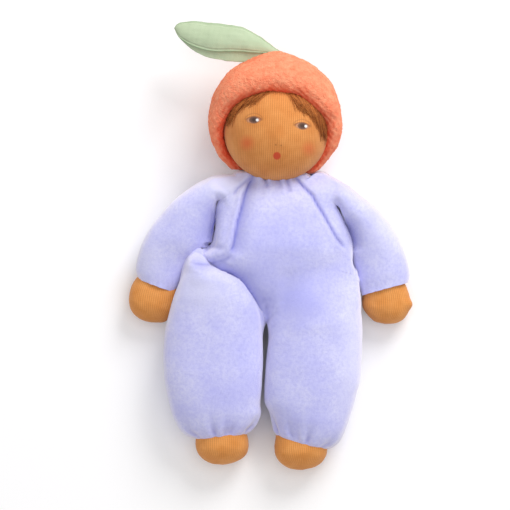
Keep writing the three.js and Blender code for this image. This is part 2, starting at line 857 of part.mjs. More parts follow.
const makeLeg = (name) => {
  const side = sideOf[name];
  const halfWidth = legHalfWidths[name];
  const rings = (shares, width, thickness, inset, sides) =>
    shares.map(([lengthShare, widthShare, thicknessShare, ankleShare, riseShare = 0]) => {
      const turned = THREE.MathUtils.smoothstep(lengthShare, ankleTurnShare, trouserEndShare);
      const lean = ankleTilts[name] * turned;
      const thick = thickness * thicknessShare;
      const centre = new THREE.Vector3(
        side * THREE.MathUtils.lerp(halfWidth + legGap, ankleXs[name], ankleShare),
        hipY - Math.min(legLength * lengthShare, legLength - inset),
        thick + cuffRise * riseShare - restFlatDepth,
      );
      return sectionRing(
        centre,
        new THREE.Vector3(Math.cos(lean), Math.sin(lean), 0),
        upwards,
        width * widthShare - inset,
        thick - inset,
        legSquareness,
        sides,
      );
    });
  const belowAnkle = (lengthShare) =>
    halfSpace(
      new THREE.Vector3(side * ankleXs[name], hipY - legLength * lengthShare, 0),
      new THREE.Vector3(Math.sin(ankleTilts[name]), -Math.cos(ankleTilts[name]), 0),
    );
  const legForm = (inset, sides, rootSides) =>
    loft(rings(trouserStationShares, halfWidth, legHalfThickness, inset, sides))
      .subtract(crotchRoom(roundRoom(hipRadius + jointGap + inset, ballSides), crotchHalfWidth + inset))
      .add(hipBarrel(name, -inset, rootSides));

  const [, hemWidthShare, hemThicknessShare] = trouserStationShares.at(-1);
  const hemRoom = loft(
    rings(
      [
        [footRootShare - cuffOverrunShare, hemWidthShare, hemThicknessShare, 1],
        [trouserEndShare + 2 * cuffOverrunShare, hemWidthShare, hemThicknessShare, 1],
      ],
      halfWidth,
      legHalfThickness,
      velourThickness,
      innerSides,
    ),
  );
  const trouserLeg = largestPiece(
    legForm(0, outerSides, ballSides)
      .subtract(legForm(velourThickness, innerSides, innerSides).add(hemRoom))
      .subtract(belowAnkle(trouserEndShare))
      .intersect(aboveHeight(0)),
  );
  const legWool = largestPiece(
    legForm(velourThickness + seamGap, innerSides, innerSides)
      .subtract(belowAnkle(footRootShare - woolSetbackShare))
      .intersect(aboveHeight(velourThickness + seamGap)),
  );

  const footShares = footStationShares.map(([lengthShare, widthShare, thicknessShare, rise]) => [
    lengthShare,
    widthShare,
    thicknessShare,
    1,
    rise,
  ]);
  const footForm = (inset) =>
    loft(rings(footShares, footHalfWidth, footHalfThickness, inset, innerSides));
  const foot = largestPiece(
    footForm(0)
      .subtract(footForm(jerseyThickness))
      .intersect(belowAnkle(footRootShare))
      .intersect(aboveHeight(0)),
  );
  const footWool = largestPiece(
    footForm(jerseyThickness + seamGap)
      .intersect(belowAnkle(footRootShare))
      .intersect(aboveHeight(jerseyThickness + seamGap)),
  );
  return { trouserLeg, legWool, foot, footWool };
};

// The doll

const doll = new THREE.Group();
doll.add(
  meshOf('suit_front', suitFront, materials.velour),
  meshOf('suit_back', suitBack, materials.velour),
  meshOf('torso_wool', torsoWool, materials.wool),
  meshOf('neckline_thread', neckThread, materials.thread),
  meshOf('neck_stalk', neckStalk, materials.wool),
  meshOf('head_skin', headSkin, materials.jersey),
  meshOf('head_wool', headWool, materials.wool),
  meshOf('hood', hood, materials.terry),
  meshOf('leaf_top', leafTop, materials.leafVelour),
  meshOf('leaf_underside', leafUnderside, materials.leafVelour),
  meshOf('leaf_wadding', leafWadding, materials.wool),
);

for (const name of Object.keys(sideOf)) {
  const arm = makeArm(name);
  const leg = makeLeg(name);
  doll.add(
    meshOf(`${name}_hair`, hairLock(hairPlaceShares[name]), materials.mohair),
    meshOf(`${name}_shoulder_wad`, arm.wad, materials.wool),
    meshOf(`${name}_sleeve`, arm.sleeve, materials.velour),
    meshOf(`${name}_arm_wool`, arm.armWool, materials.wool),
    meshOf(`${name}_hand`, arm.hand, materials.jersey),
    meshOf(`${name}_hand_wool`, arm.handWool, materials.wool),
    meshOf(`${name}_trouser_leg`, leg.trouserLeg, materials.velour),
    meshOf(`${name}_leg_wool`, leg.legWool, materials.wool),
    meshOf(`${name}_foot`, leg.foot, materials.jersey),
    meshOf(`${name}_foot_wool`, leg.footWool, materials.wool),
  );
}

export default doll;
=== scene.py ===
# %% [markdown]
# # A soft baby doll, dressed for its picture
#
# The doll is a stuffed one: a lavender velour suit, knitted head, hands and feet, a terry hood with a
# padded leaf, and wool inside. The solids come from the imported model. Here every soft form gets its cloth:
# fuller shapes, seams, gathers and folds, and materials with knit, nap and loops.
# Everything is worked out in millimetres and turned into metres when a mesh is made.
# The x axis runs to the right of the picture, y towards the crown and z out of the chest.

import math

import bpy
import numpy as np
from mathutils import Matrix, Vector


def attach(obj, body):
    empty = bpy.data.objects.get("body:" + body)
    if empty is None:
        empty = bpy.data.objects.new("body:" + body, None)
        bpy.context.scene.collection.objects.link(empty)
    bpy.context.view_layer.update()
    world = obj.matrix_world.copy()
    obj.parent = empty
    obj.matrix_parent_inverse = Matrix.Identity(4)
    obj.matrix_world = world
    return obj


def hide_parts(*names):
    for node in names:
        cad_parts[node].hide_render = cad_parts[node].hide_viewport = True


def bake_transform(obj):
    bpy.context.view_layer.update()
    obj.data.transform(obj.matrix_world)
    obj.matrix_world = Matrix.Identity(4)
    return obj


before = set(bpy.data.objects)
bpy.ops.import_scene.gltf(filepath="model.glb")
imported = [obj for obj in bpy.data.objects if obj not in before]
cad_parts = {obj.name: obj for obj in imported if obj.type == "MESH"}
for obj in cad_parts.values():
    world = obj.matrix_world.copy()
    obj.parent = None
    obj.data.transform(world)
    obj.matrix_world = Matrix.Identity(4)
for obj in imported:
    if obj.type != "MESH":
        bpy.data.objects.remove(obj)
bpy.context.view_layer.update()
scene = bpy.context.scene

# %% [markdown]
# ## Camera, light and floor
#
# The picture was taken from straight above, with the doll's body leaning about three degrees. A long lens
# keeps the proportions flat. The light is one large soft lamp from the upper right and an even sky, so the
# doll's own colours come out as they are written and a soft shadow falls to the lower left.

# %% Small helpers for numbers and colours
MM = 0.001


def linear(code):
    """A written sRGB colour such as #c0c0f0 as linear red, green and blue, with an alpha of 1.

    Each channel c becomes c / 12.92 where it is small and ((c + 0.055) / 1.055) ** 2.4 where it is not.
    """
    c = np.array([int(code[i : i + 2], 16) for i in (1, 3, 5)]) / 255
    return (*np.where(c <= 0.04045, c / 12.92, ((c + 0.055) / 1.055) ** 2.4).tolist(), 1.0)


def smoothstep(x, low, high):
    """0 below low, 1 above high, and 3 t^2 - 2 t^3 of the share t between them."""
    t = np.clip((x - low) / (high - low), 0, 1)
    return t * t * (3 - 2 * t)


def through(stations, share):
    """A smooth line through the stations (place, value, value ...), read at each share.

    Between two stations it is a cubic whose slopes are the mean slopes of the neighbouring pieces.
    """
    stations = np.asarray(stations, float)
    x, y = stations[:, 0], stations[:, 1:]
    slope = np.diff(y, axis=0) / np.diff(x)[:, None]
    tangent = np.vstack([slope[:1], (slope[1:] + slope[:-1]) / 2, slope[-1:]])
    share = np.clip(np.asarray(share, float), x[0], x[-1])
    at = np.clip(np.searchsorted(x, share, side="right") - 1, 0, len(x) - 2)
    h = (x[at + 1] - x[at])[:, None]
    t = ((share - x[at]) / h[:, 0])[:, None]
    return (
        y[at] * (2 * t**3 - 3 * t**2 + 1)
        + tangent[at] * h * (t**3 - 2 * t**2 + t)
        + y[at + 1] * (3 * t**2 - 2 * t**3)
        + tangent[at + 1] * h * (t**3 - t**2)
    )


print("lavender in linear light", linear("#bfc0f2"))

# %% The camera, straight above and turned by the doll's lean
picture_width = 0.357
picture_lean = math.radians(3.0)
picture_middle = (-0.0102, -0.0040)
camera_height = 2.4
cloth_height = 0.025
sensor_width = 36.0


def placed(name, data):
    """A new object with the given data, linked to the scene."""
    made = bpy.data.objects.new(name, data)
    scene.collection.objects.link(made)
    return made


camera_data = bpy.data.cameras.new("picture_camera")
camera_data.sensor_width = sensor_width
camera_data.lens = sensor_width * (camera_height - cloth_height) / picture_width
camera = placed("picture_camera", camera_data)
camera.location = (*picture_middle, camera_height)
camera.rotation_euler = (0.0, 0.0, picture_lean)
scene.camera = camera
scene.view_settings.view_transform = "Standard"
print("lens", round(camera_data.lens, 1), "mm")


# %% Small builders for material nodes
def material_with(name):
    """A new material, its node tree and its Principled shader."""
    material = bpy.data.materials.new(name)
    material.use_nodes = True
    tree = material.node_tree
    return material, tree, tree.nodes["Principled BSDF"]


def add(tree, kind, settings=None, **sockets):
    """One new shader node. settings are its own properties. sockets are values or other nodes' outputs,
    given by the socket's name or, as in _0, by its number."""
    node = tree.nodes.new("ShaderNode" + kind)
    for key, value in (settings or {}).items():
        setattr(node, key, value)
    for key, value in sockets.items():
        socket = node.inputs[int(key[1:])] if key[1:].isdigit() else node.inputs[key.replace("_", " ")]
        if isinstance(value, bpy.types.NodeSocket):
            tree.links.new(value, socket)
        else:
            socket.default_value = value
    return node


def calculate(tree, operation, *values, clamp=False):
    """ADD, MULTIPLY, SINE or another operation on numbers and outputs."""
    numbered = {f"_{at}": value for at, value in enumerate(values)}
    return add(tree, "Math", {"operation": operation, "use_clamp": clamp}, **numbered).outputs[0]


def mixed(tree, share, first, second):
    """The colour at a share of the way from a first to a second, each a written colour or an output."""
    first, second = (linear(c) if isinstance(c, str) else c for c in (first, second))
    return add(tree, "Mix", {"data_type": "RGBA"}, _0=share, _6=first, _7=second).outputs[2]


def ranged(tree, value, low, high, start=0.0, end=1.0):
    """A value that goes from low to high, made to go from start to end and held there."""
    return add(tree, "MapRange", Value=value, _1=low, _2=high, _3=start, _4=end).outputs[0]


def noise(tree, where, scale, detail, roughness=0.5):
    """Cloudy noise of so many cells to the metre: 2300 are 0.43 mm wide, 55 are 18 mm wide."""
    return add(tree, "TexNoise", Vector=where, Scale=scale, Detail=detail, Roughness=roughness).outputs[0]


def attribute(tree, name):
    """The number that put_attribute writes at each vertex."""
    return add(tree, "Attribute", {"attribute_name": name}).outputs["Fac"]


def surface(tree, shader, colour, height=None, strength=0.0, depth=0.0, **constants):
    """Give a shader its colour and constants, and a bump of a depth in metres where there is a height."""
    if not isinstance(colour, str):
        tree.links.new(colour, shader.inputs["Base Color"])
    else:
        constants["Base Color"] = colour
    for key, value in constants.items():
        value = linear(value) if isinstance(value, str) else value
        shader.inputs[key.replace("_", " ")].default_value = value
    if height is not None:
        bump = add(tree, "Bump", Height=height, Strength=strength, Distance=depth)
        tree.links.new(bump.outputs[0], shader.inputs["Normal"])


# %% The floor and the sky
floor_size, floor_depth = 3.0, 0.0004
floor_mesh = bpy.data.meshes.new("floor")
corners = np.array([(-1, -1, 0), (1, -1, 0), (1, 1, 0), (-1, 1, 0)]) * floor_size
floor_mesh.from_pydata((corners - (0, 0, floor_depth)).tolist(), [], [(0, 1, 2, 3)])
floor = placed("floor", floor_mesh)


def seen_directly(tree):
    """1 for rays from the camera, and for rays that metal or glass would send on, else 0."""
    ray = add(tree, "LightPath").outputs
    total = calculate(tree, "ADD", ray["Is Camera Ray"], ray["Is Glossy Ray"], clamp=True)
    return calculate(tree, "ADD", total, ray["Is Transmission Ray"], clamp=True)


paper_lift = 0.13
# the paper isn't lifted between the legs and in the two gaps beside the body, which paints shade there:
# middle and half size
dark_gaps = [
    ((0.0, -0.085), (0.013, 0.06)), ((-0.046, 0.006), (0.013, 0.02)), ((0.056, 0.012), (0.012, 0.026)),
]
paper, tree, shader = material_with("pale_floor_paper")
where = add(tree, "TexCoord").outputs["Object"]
surface(tree, shader, "#efeeef", noise(tree, where, 900.0, 3.0), 0.05, 0.0002, Roughness=0.9,
        Specular_IOR_Level=0.0)
lift = calculate(tree, "MULTIPLY", seen_directly(tree), paper_lift)
for middle, half in dark_gaps:
    near = add(tree, "Mapping", {"vector_type": "TEXTURE"}, Vector=where, Location=(*middle, 0.0),
               Scale=(*half, 1.0)).outputs[0]
    near = add(tree, "VectorMath", {"operation": "LENGTH"}, _0=near).outputs["Value"]
    lift = calculate(tree, "MULTIPLY", lift, ranged(tree, near, 0.7, 1.3))
glow = add(tree, "Emission", Color=linear("#ffffff"), Strength=lift)
lit = add(tree, "AddShader", _0=shader.outputs[0], _1=glow.outputs[0])
tree.links.new(lit.outputs[0], tree.nodes["Material Output"].inputs["Surface"])
floor_mesh.materials.append(paper)

world = bpy.data.worlds.new("studio_sky")
scene.world = world
world.use_nodes = True
tree = world.node_tree
sky = tree.nodes["Background"]
sky.inputs["Color"].default_value = linear("#ffffff")
sky.inputs["Strength"].default_value = 0.6
white = add(tree, "Background", Color=linear("#ffffff"), Strength=1.0)
both = add(tree, "MixShader", _0=seen_directly(tree), _1=sky.outputs[0], _2=white.outputs[0])
tree.links.new(both.outputs[0], tree.nodes["World Output"].inputs["Surface"])


def soft_lamp(name, place, towards, size, power):
    """A square area lamp at a place, facing a point, both in metres."""
    data = bpy.data.lights.new(name, "AREA")
    data.size = size
    data.energy = power
    lamp = placed(name, data)
    lamp.location = place
    aim = Vector(towards) - Vector(place)
    lamp.rotation_euler = aim.to_track_quat("-Z", "Y").to_euler()
    return lamp


key_lamp = soft_lamp("key_lamp", (0.60, 1.35, 1.10), (0, 0, 0.02), 0.8, 22.0)
top_lamp = soft_lamp("top_lamp", (0.2, 0.3, 1.9), (0, 0, 0.02), 1.2, 6.0)
print("lamps", key_lamp.data.energy, top_lamp.data.energy, "W")

# %% [markdown]
# ## From grids of points to closed forms
#
# A stuffed limb is a closed skin round a path: rings of points laid out around it, wide along one
# direction and thick along another, with a pole at each end. A grid of rows and columns worked out at once
# is quick and gives even quads. A sculpted mesh would be freer, but its numbers couldn't be read.


# %% Meshes from whole arrays
def unit(vectors):
    """Vectors of length 1 in the same directions, along the last axis of an array."""
    return vectors / np.linalg.norm(vectors, axis=-1, keepdims=True)


def ring_quads(count, sides):
    """Quads that join each of count rings to the next: this ring's corner and the next one along, then the
    same two on the next ring."""
    r, c = np.meshgrid(np.arange(count - 1), np.arange(sides), indexing="ij")
    here, there, n = r * sides, (r + 1) * sides, (c + 1) % sides
    return np.stack([here + c, here + n, there + n, there + c], -1).reshape(-1, 4)


def outward(points, faces, middle):
    """How far faces look away from a middle: positive where their corner order points them outwards."""
    a, b, d = (points[faces[:, i]] for i in (0, 1, 2))
    return np.einsum("ij,ij->", a - middle, np.cross(b - a, d - a))


def piece_from_grid(name, rows):
    """A closed mesh from a grid of rings. Row r, column c is one point; columns join round.

    Each end is closed by a pole at the mean of its ring. The corner order is turned where the quads look
    inwards.
    """
    count, sides, _ = rows.shape
    points = np.vstack([rows.reshape(-1, 3), rows[0].mean(0), rows[-1].mean(0)]) * MM
    quads = ring_quads(count, sides)
    side = np.arange(sides)
    after = (side + 1) % sides
    last_row = (count - 1) * sides
    first = np.stack([np.full(sides, count * sides), after, side], -1)
    last = np.stack([np.full(sides, count * sides + 1), last_row + side, last_row + after], -1)
    if outward(points, quads, points.mean(0)) < 0:
        quads, first, last = quads[:, ::-1], first[:, ::-1], last[:, ::-1]
    loops = np.concatenate([quads.ravel(), first.ravel(), last.ravel()])
    sizes = np.concatenate([np.full(len(quads), 4), np.full(2 * sides, 3)])
    mesh = bpy.data.meshes.new(name)
    mesh.vertices.add(len(points))
    mesh.vertices.foreach_set("co", points.astype(np.float32).ravel())
    mesh.loops.add(len(loops))
    mesh.loops.foreach_set("vertex_index", loops.astype(np.int32))
    mesh.polygons.add(len(sizes))
    mesh.polygons.foreach_set("loop_start", (np.cumsum(sizes) - sizes).astype(np.int32))
    mesh.polygons.foreach_set("use_smooth", np.ones(len(sizes), bool))
    mesh.update(calc_edges=True)
    mesh.validate()
    return placed(name, mesh)


def put_attribute(piece, name, values):
    """One number for each vertex of a piece, which its material can read."""
    holder = piece.data.attributes.new(name, "FLOAT", "POINT")
    full = np.zeros(len(piece.data.vertices), np.float32)
    full[: len(values)] = values
    holder.data.foreach_set("value", full)


def read_vectors(collection, key):
    """One vector for each item of a mesh's list, as an array."""
    flat = np.zeros(len(collection) * 3, np.float32)
    collection.foreach_get(key, flat)
    return flat.reshape(-1, 3).astype(float)


def points_of(piece):
    """The vertices of a piece in millimetres."""
    return read_vectors(piece.data.vertices, "co") / MM


def normals_of(piece):
    """The outward direction at each vertex."""
    return read_vectors(piece.data.vertex_normals, "vector")


def move_points(piece, points):
    """Put an array of points in millimetres back into a piece."""
    piece.data.vertices.foreach_set("co", (points * MM).astype(np.float32).ravel())
    piece.data.update()


def pushed(points, normals, amount):
    """Points moved out along their normals by an amount of millimetres each."""
    return points + normals * amount[:, None]


def off_floor(points):
    """Points with none of them under the floor."""
    return np.column_stack([points[:, :2], np.maximum(points[:, 2], 0.0)])


def rings_round(middle, height, across, half_width, half_thick, square, sides):
    """Upright rings over middles in the plane of the picture, each a rounded square section: at an angle a
    a point lies w c(a) across and t s(a) above the ring's middle, where c and s are the cosine and sine
    raised to 2 / square with their signs kept."""
    angle = np.linspace(0, 2 * np.pi, sides, endpoint=False)
    power = 2 / square[:, None]
    c, s = (np.sign(wave) * np.abs(wave) ** power for wave in (np.cos(angle), np.sin(angle)))
    flat = middle[:, None] + across[:, None] * (half_width[:, None] * c)[..., None]
    return np.concatenate([flat, (height[:, None] + half_thick[:, None] * s)[..., None]], 2)


def near_line(points, line):
    """Distance in the plane of the picture from each point to a bent line, how far along it the nearest
    spot lies, from 0 to 1, and the side: positive to the left of the line's direction."""
    line = np.asarray(line, float)
    start, step = line[:-1], np.diff(line, axis=0)
    length = np.linalg.norm(step, axis=1)
    to = points[:, None, :2] - start[None]
    share = np.clip(np.einsum("ijk,jk->ij", to, step) / length**2, 0, 1)
    off = to - share[..., None] * step[None]
    far = np.linalg.norm(off, axis=2)
    best = far.argmin(1)
    pick = np.arange(len(points))
    before = np.concatenate([[0], np.cumsum(length)])
    along = (before[best] + share[pick, best] * length[best]) / before[-1]
    turn = step[best, 0] * off[pick, best, 1] - step[best, 1] * off[pick, best, 0]
    return far[pick, best], along, np.sign(turn)


def wavy(points, size, seed, octaves=3):
    """Soft unevenness between about -1 and 1: sums of sines in seeded directions, halved at each octave."""
    maker = np.random.default_rng(seed)
    total = np.zeros(len(points))
    for octave in range(octaves):
        for _ in range(4):
            way = maker.normal(size=3)
            way *= 2 * np.pi * 2**octave / size / np.linalg.norm(way)
            total += np.sin(points @ way + maker.uniform(0, 2 * np.pi)) / 2**octave
    return total / 3


print("helpers ready")

# %% [markdown]
# ## The suit
#
# The real suit is one skin of velour, stuffed with wool, with raglan sleeves and legs that bulge against
# each other. Torso, arms and legs are separate closed forms here.
# Where two forms meet, their skins are pushed out together to one smooth fillet, so the cloth looks whole,
# and where the photograph shows a crease the fillet is left out and a groove is pressed in.


# %% The paths and sections of the suit's five forms
def read_stations(stations, count):
    """The columns of a table, read smoothly at so many even steps from its first row to its last."""
    table = np.column_stack([np.arange(len(stations), dtype=float), stations])
    return through(table, np.linspace(0, len(stations) - 1, count)).T


# y, left edge x, right edge x, bottom height, top height, squareness
torso_stations = [
    (-47.2, -10, 10, 12, 28, 2), (-45.4, -22, 22, 6, 32, 2.1), (-41, -40, 40, 1, 36.5, 2.2),
    (-32.5, -52, 54, 0, 41.5, 2.3), (-20, -54, 59, 0, 46.2, 2.3), (-8, -50, 58.5, 0, 50.2, 2.3),
    (2, -43.6, 58.4, 0, 52.5, 2.3), (12, -42, 57, 0, 52.5, 2.35), (21, -41.4, 53.4, 0, 51.5, 2.35),
    (30, -41, 49.5, 0.5, 50, 2.35), (38, -38, 45, 2, 48, 2.3), (44.5, -34, 39, 4, 46, 2.25),
    (49, -29, 32.5, 7, 44, 2.1), (51.8, -24, 26, 11.5, 41.5, 2), (53, -17, 17.5, 15, 39, 2),
    (52.4, -11.5, 11.5, 18.5, 37, 2),
]


def torso_rows(count, sides):
    """The body: sections across the line from crotch to neck, drawn in at the top to the neckline."""
    y, left, right, low, high, square = read_stations(torso_stations, count)
    low = np.maximum(low, 0)
    middle = np.column_stack([(left + right) / 2, y])
    across = np.tile([1.0, 0], (count, 1))
    return rings_round(middle, (low + high) / 2, across, (right - left) / 2, (high - low) / 2, square, sides)


# Each ring of an arm: outer edge x and y, inner edge x and y, bottom height, top height, squareness.
# The inner edges fan out from the armpit, so the sleeve is narrow on the shoulder and full at the elbow.
arm_stations = {
    "left": [
        (-13, 45.5, -12, 30, 10, 36, 2), (-19, 49.6, -17, 27, 5, 41, 2.1),
        (-29.5, 51.2, -29, 29, 1.5, 45, 2.2), (-41, 50, -37.5, 31.5, 0, 45.5, 2.2),
        (-50.5, 45.6, -38.4, 27, 0, 45, 2.2), (-60.5, 38.9, -38, 19.6, 0, 44, 2.2),
        (-69.4, 31.2, -38.4, 11.8, 0, 42.5, 2.2), (-78.3, 19.3, -40, 3.6, 0, 40, 2.2),
        (-85, 9.5, -47.6, -4, 0, 37.5, 2.2), (-90.2, -1, -54.2, -9.6, 0, 34.5, 2.2),
        (-92.9, -10.5, -58.2, -17.5, 0, 31.5, 2.2), (-93.6, -18, -61.2, -26, 0.5, 28.8, 2.15),
        (-92.2, -23, -63.8, -31, 1, 27, 2.1), (-91, -25.4, -65.2, -33.2, 1.4, 26.2, 2.1),
    ],
    "right": [
        (13, 46, 12, 31, 10, 36, 2), (19, 50.6, 18, 29, 5, 41, 2.1), (28, 54.2, 30, 31, 1.5, 45, 2.2),
        (39, 52.2, 41.2, 34.6, 0, 45.5, 2.2), (51.3, 48.2, 45.4, 30.8, 0, 45, 2.2),
        (61.5, 41.4, 47.2, 25.4, 0, 44, 2.2), (70.8, 34.8, 50, 20, 0, 42.5, 2.2),
        (78.6, 27.4, 53.2, 14.6, 0, 40.5, 2.2), (85.2, 19.6, 55.8, 6, 0, 38, 2.2),
        (91.2, 10.2, 57.6, -2, 0, 35, 2.2), (95.6, 0.6, 59.6, -10.5, 0, 32, 2.2),
        (98.3, -8, 62.2, -19, 0.5, 29.6, 2.15), (98.8, -14, 65, -25, 1, 27.6, 2.1),
        (98, -17.6, 65.8, -28.2, 1.4, 26.8, 2.1),
    ],
}


def arm_rows(name, count, sides):
    """Rings of a sleeve from shoulder to hem, each from an inner to an outer edge point."""
    ox, oy, ix, iy, low, high, square = read_stations(arm_stations[name], count)
    low = np.maximum(low, 0)
    across = np.column_stack([ox - ix, oy - iy])
    half = np.linalg.norm(across, axis=1) / 2
    middle = np.column_stack([(ox + ix) / 2, (oy + iy) / 2])
    across /= 2 * half[:, None]
    return rings_round(middle, (low + high) / 2, across, half, (high - low) / 2, square, sides)


# the side on which a leg lies, and the degrees by which its hem is turned
leg_facts = {"left": (-1, 8.7), "right": (1, -15.0)}
# y, outer edge x, inner edge x, bottom height, top height, squareness
leg_stations = {
    "left": [
        (-3.5, 52, 47.5, 18, 32, 2), (-5.6, 54.5, 45, 10, 38.5, 2.05), (-9, 57, 41.5, 5, 45, 2.1),
        (-13, 58.6, 37.5, 1, 49.6, 2.2), (-16.4, 59.4, 31, 0, 52, 2.25), (-19.4, 60.2, 22, 0, 53.4, 2.3),
        (-23.5, 61.4, 15.4, 0, 54.3, 2.35), (-29, 63.2, 11, 0, 53.8, 2.35),
        (-36, 65.2, 6.6, 0, 52.8, 2.35), (-46, 67.4, 3, 0, 50.8, 2.35), (-60, 70.5, 1.8, 0, 48.5, 2.35),
        (-74, 71, 0.7, 0, 46.5, 2.35), (-88, 69.8, 0.4, 0, 45, 2.35), (-100, 67.8, 0.7, 0, 43.5, 2.3),
        (-110, 65, 1.2, 0, 41.5, 2.25), (-118, 61.5, 0.4, 0.5, 39, 2.2), (-125, 56.5, 2.6, 1, 35.5, 2.15),
        (-129, 51.8, 5.6, 1.5, 32.5, 2.1), (-131.5, 47, 7.8, 2, 30.5, 2.1),
        (-132.6, 44.4, 9.2, 2.6, 29.6, 2.1),
    ],
    "right": [
        (-3, 42, 29, 16, 33, 2), (-6, 51, 20, 8, 36, 2.1), (-10.5, 56.8, 13, 3, 39.5, 2.2),
        (-17, 60.2, 9, 0, 43, 2.3), (-26, 62, 6, 0, 46.6, 2.35), (-36, 65, 5, 0, 48.8, 2.35),
        (-48, 67.2, 3.2, 0, 49.5, 2.35), (-60, 68, 2.4, 0, 48, 2.35), (-74, 68.4, 1.6, 0, 46.5, 2.35),
        (-88, 67.8, 1.1, 0, 45, 2.35), (-100, 65.2, 1.2, 0, 43.5, 2.3), (-110, 62.6, 2.2, 0, 41.5, 2.25),
        (-118, 60.2, 5, 0.5, 39, 2.2), (-125, 57, 7.2, 1, 35.5, 2.15), (-129.6, 52.6, 8.6, 1.5, 32.5, 2.1),
        (-132.4, 48, 9.6, 2, 30.5, 2.1), (-133.6, 45.4, 10.6, 2.6, 29.6, 2.1),
    ],
}


def leg_rows(name, count, sides):
    """Rings of a trouser leg. Each ring lies across the leg, and turns with the ankle towards the hem."""
    y, outer, inner, low, high, square = read_stations(leg_stations[name], count)
    side, tilt = leg_facts[name]
    low = np.maximum(low, 0)
    middle = np.column_stack([side * (outer + inner) / 2, y])
    lean = math.radians(tilt) * smoothstep(-y, 96, 130)
    across = np.column_stack([np.cos(lean), np.sin(lean)])
    return rings_round(middle, (low + high) / 2, across, (outer - inner) / 2, (high - low) / 2, square, sides)


print("sections", {name: len(rows) for name, rows in {**arm_stations, **leg_stations}.items()})

# %% [markdown]
# ## Filling the cloth
#
# A stuffed form swells until its cloth is tight. The cloth solver shows how: a copy of the form is
# remeshed evenly, blown up a little with pressure and no gravity, and its swelling is capped and brought
# back to the even grid, so seams and folds can be pressed in afterwards.


# %% Cloth simulation of one form
nearest, soft_radius, batch = 12, 2.0, 1500


def inflate(piece, cap, voxel=0.0055, pressure=4.0, frames=20):
    """Swell a piece by Blender's cloth under inner pressure, and move its points by the result.

    The copy's displacement at its nearest vertices is averaged to each point of the piece, with weights
    1 / (distance^2 + soft_radius^2), and is capped in length. The mean swelling along the normals is then
    taken off again, as a pattern is cut smaller than the stuffed form, so only the roundness changes. batch
    is how many points are worked out at a time.
    """
    copy = piece.copy()
    copy.data = piece.data.copy()
    scene.collection.objects.link(copy)
    bpy.context.view_layer.objects.active = copy
    for other in bpy.context.selected_objects:
        other.select_set(False)
    copy.select_set(True)
    copy.data.remesh_voxel_size = voxel
    bpy.ops.object.voxel_remesh()
    before = points_of(copy)
    cloth = copy.modifiers.new("filling", "CLOTH")
    cloth.settings.use_pressure = True
    cloth.settings.uniform_pressure_force = pressure
    cloth.settings.effector_weights.gravity = 0.0
    cloth.point_cache.frame_start, cloth.point_cache.frame_end = 1, frames
    for at in range(1, frames + 1):
        scene.frame_set(at)
    shown = copy.evaluated_get(bpy.context.evaluated_depsgraph_get())
    after = np.zeros(len(shown.data.vertices) * 3, np.float32)
    shown.data.vertices.foreach_get("co", after)
    moved = after.reshape(-1, 3) / MM - before
    scene.frame_set(1)
    bpy.data.objects.remove(copy)
    points, normals = points_of(piece), normals_of(piece)
    shift = np.zeros_like(points)
    for part in np.array_split(np.arange(len(points)), max(1, len(points) // batch)):
        far = ((points[part][:, None] - before[None]) ** 2).sum(2)
        near = np.argpartition(far, nearest, axis=1)[:, :nearest]
        weight = 1 / (np.take_along_axis(far, near, 1) + soft_radius**2)
        shift[part] = (moved[near] * weight[..., None]).sum(1) / weight.sum(1)[:, None]
    size = np.linalg.norm(shift, axis=1)
    shift *= (np.minimum(size, cap) / np.maximum(size, 1e-6))[:, None]
    mean = float(np.einsum("ij,ij->i", shift, normals).mean())
    move_points(piece, off_floor(points + shift - normals * mean))
    print(piece.name, "swelled by", round(float(size.mean()), 2), "mm, cut smaller by", round(mean, 2))


def filled(name, rows, cap):
    """The rings of a form after filling."""
    piece = piece_from_grid(f"{name}_form", rows)
    inflate(piece, cap)
    rings = points_of(piece)[: rows.shape[0] * rows.shape[1]].reshape(rows.shape)
    bpy.data.objects.remove(piece)
    return rings


# rings, points in a ring and the swelling allowed, in mm
torso_grid, arm_grid, leg_grid = (130, 176), (210, 144), (170, 176)
form_rows = {"torso": filled("torso", torso_rows(*torso_grid), 3.0)}
for limb, limb_rows, grid, cap in (("arm", arm_rows, arm_grid, 2.0), ("leg", leg_rows, leg_grid, 3.0)):
    for name in ("left", "right"):
        form_rows[f"{name}_{limb}"] = filled(f"{name}_{limb}", limb_rows(name, *grid), cap)
for name, rows in form_rows.items():
    print(name, "from", np.round(rows.min((0, 1)), 1), "to", np.round(rows.max((0, 1)), 1))

# %% [markdown]
# A fillet between two stuffed forms is what a tight skin does: it cuts the corner. For each form a field
# tells how far outside it a point is. On a skin whose own field is zero, the other form's field f gives the
# share h = (k - |f|) / k within the reach k, and the skin moves out by k h^2 / 4, which is the smooth union
# of the two forms. The reach is short in an armpit and long over a shoulder.


# %% Fields of the forms and fillets between them
field_width, field_power = 1.6, 2.2
deepest_sink = 1.4


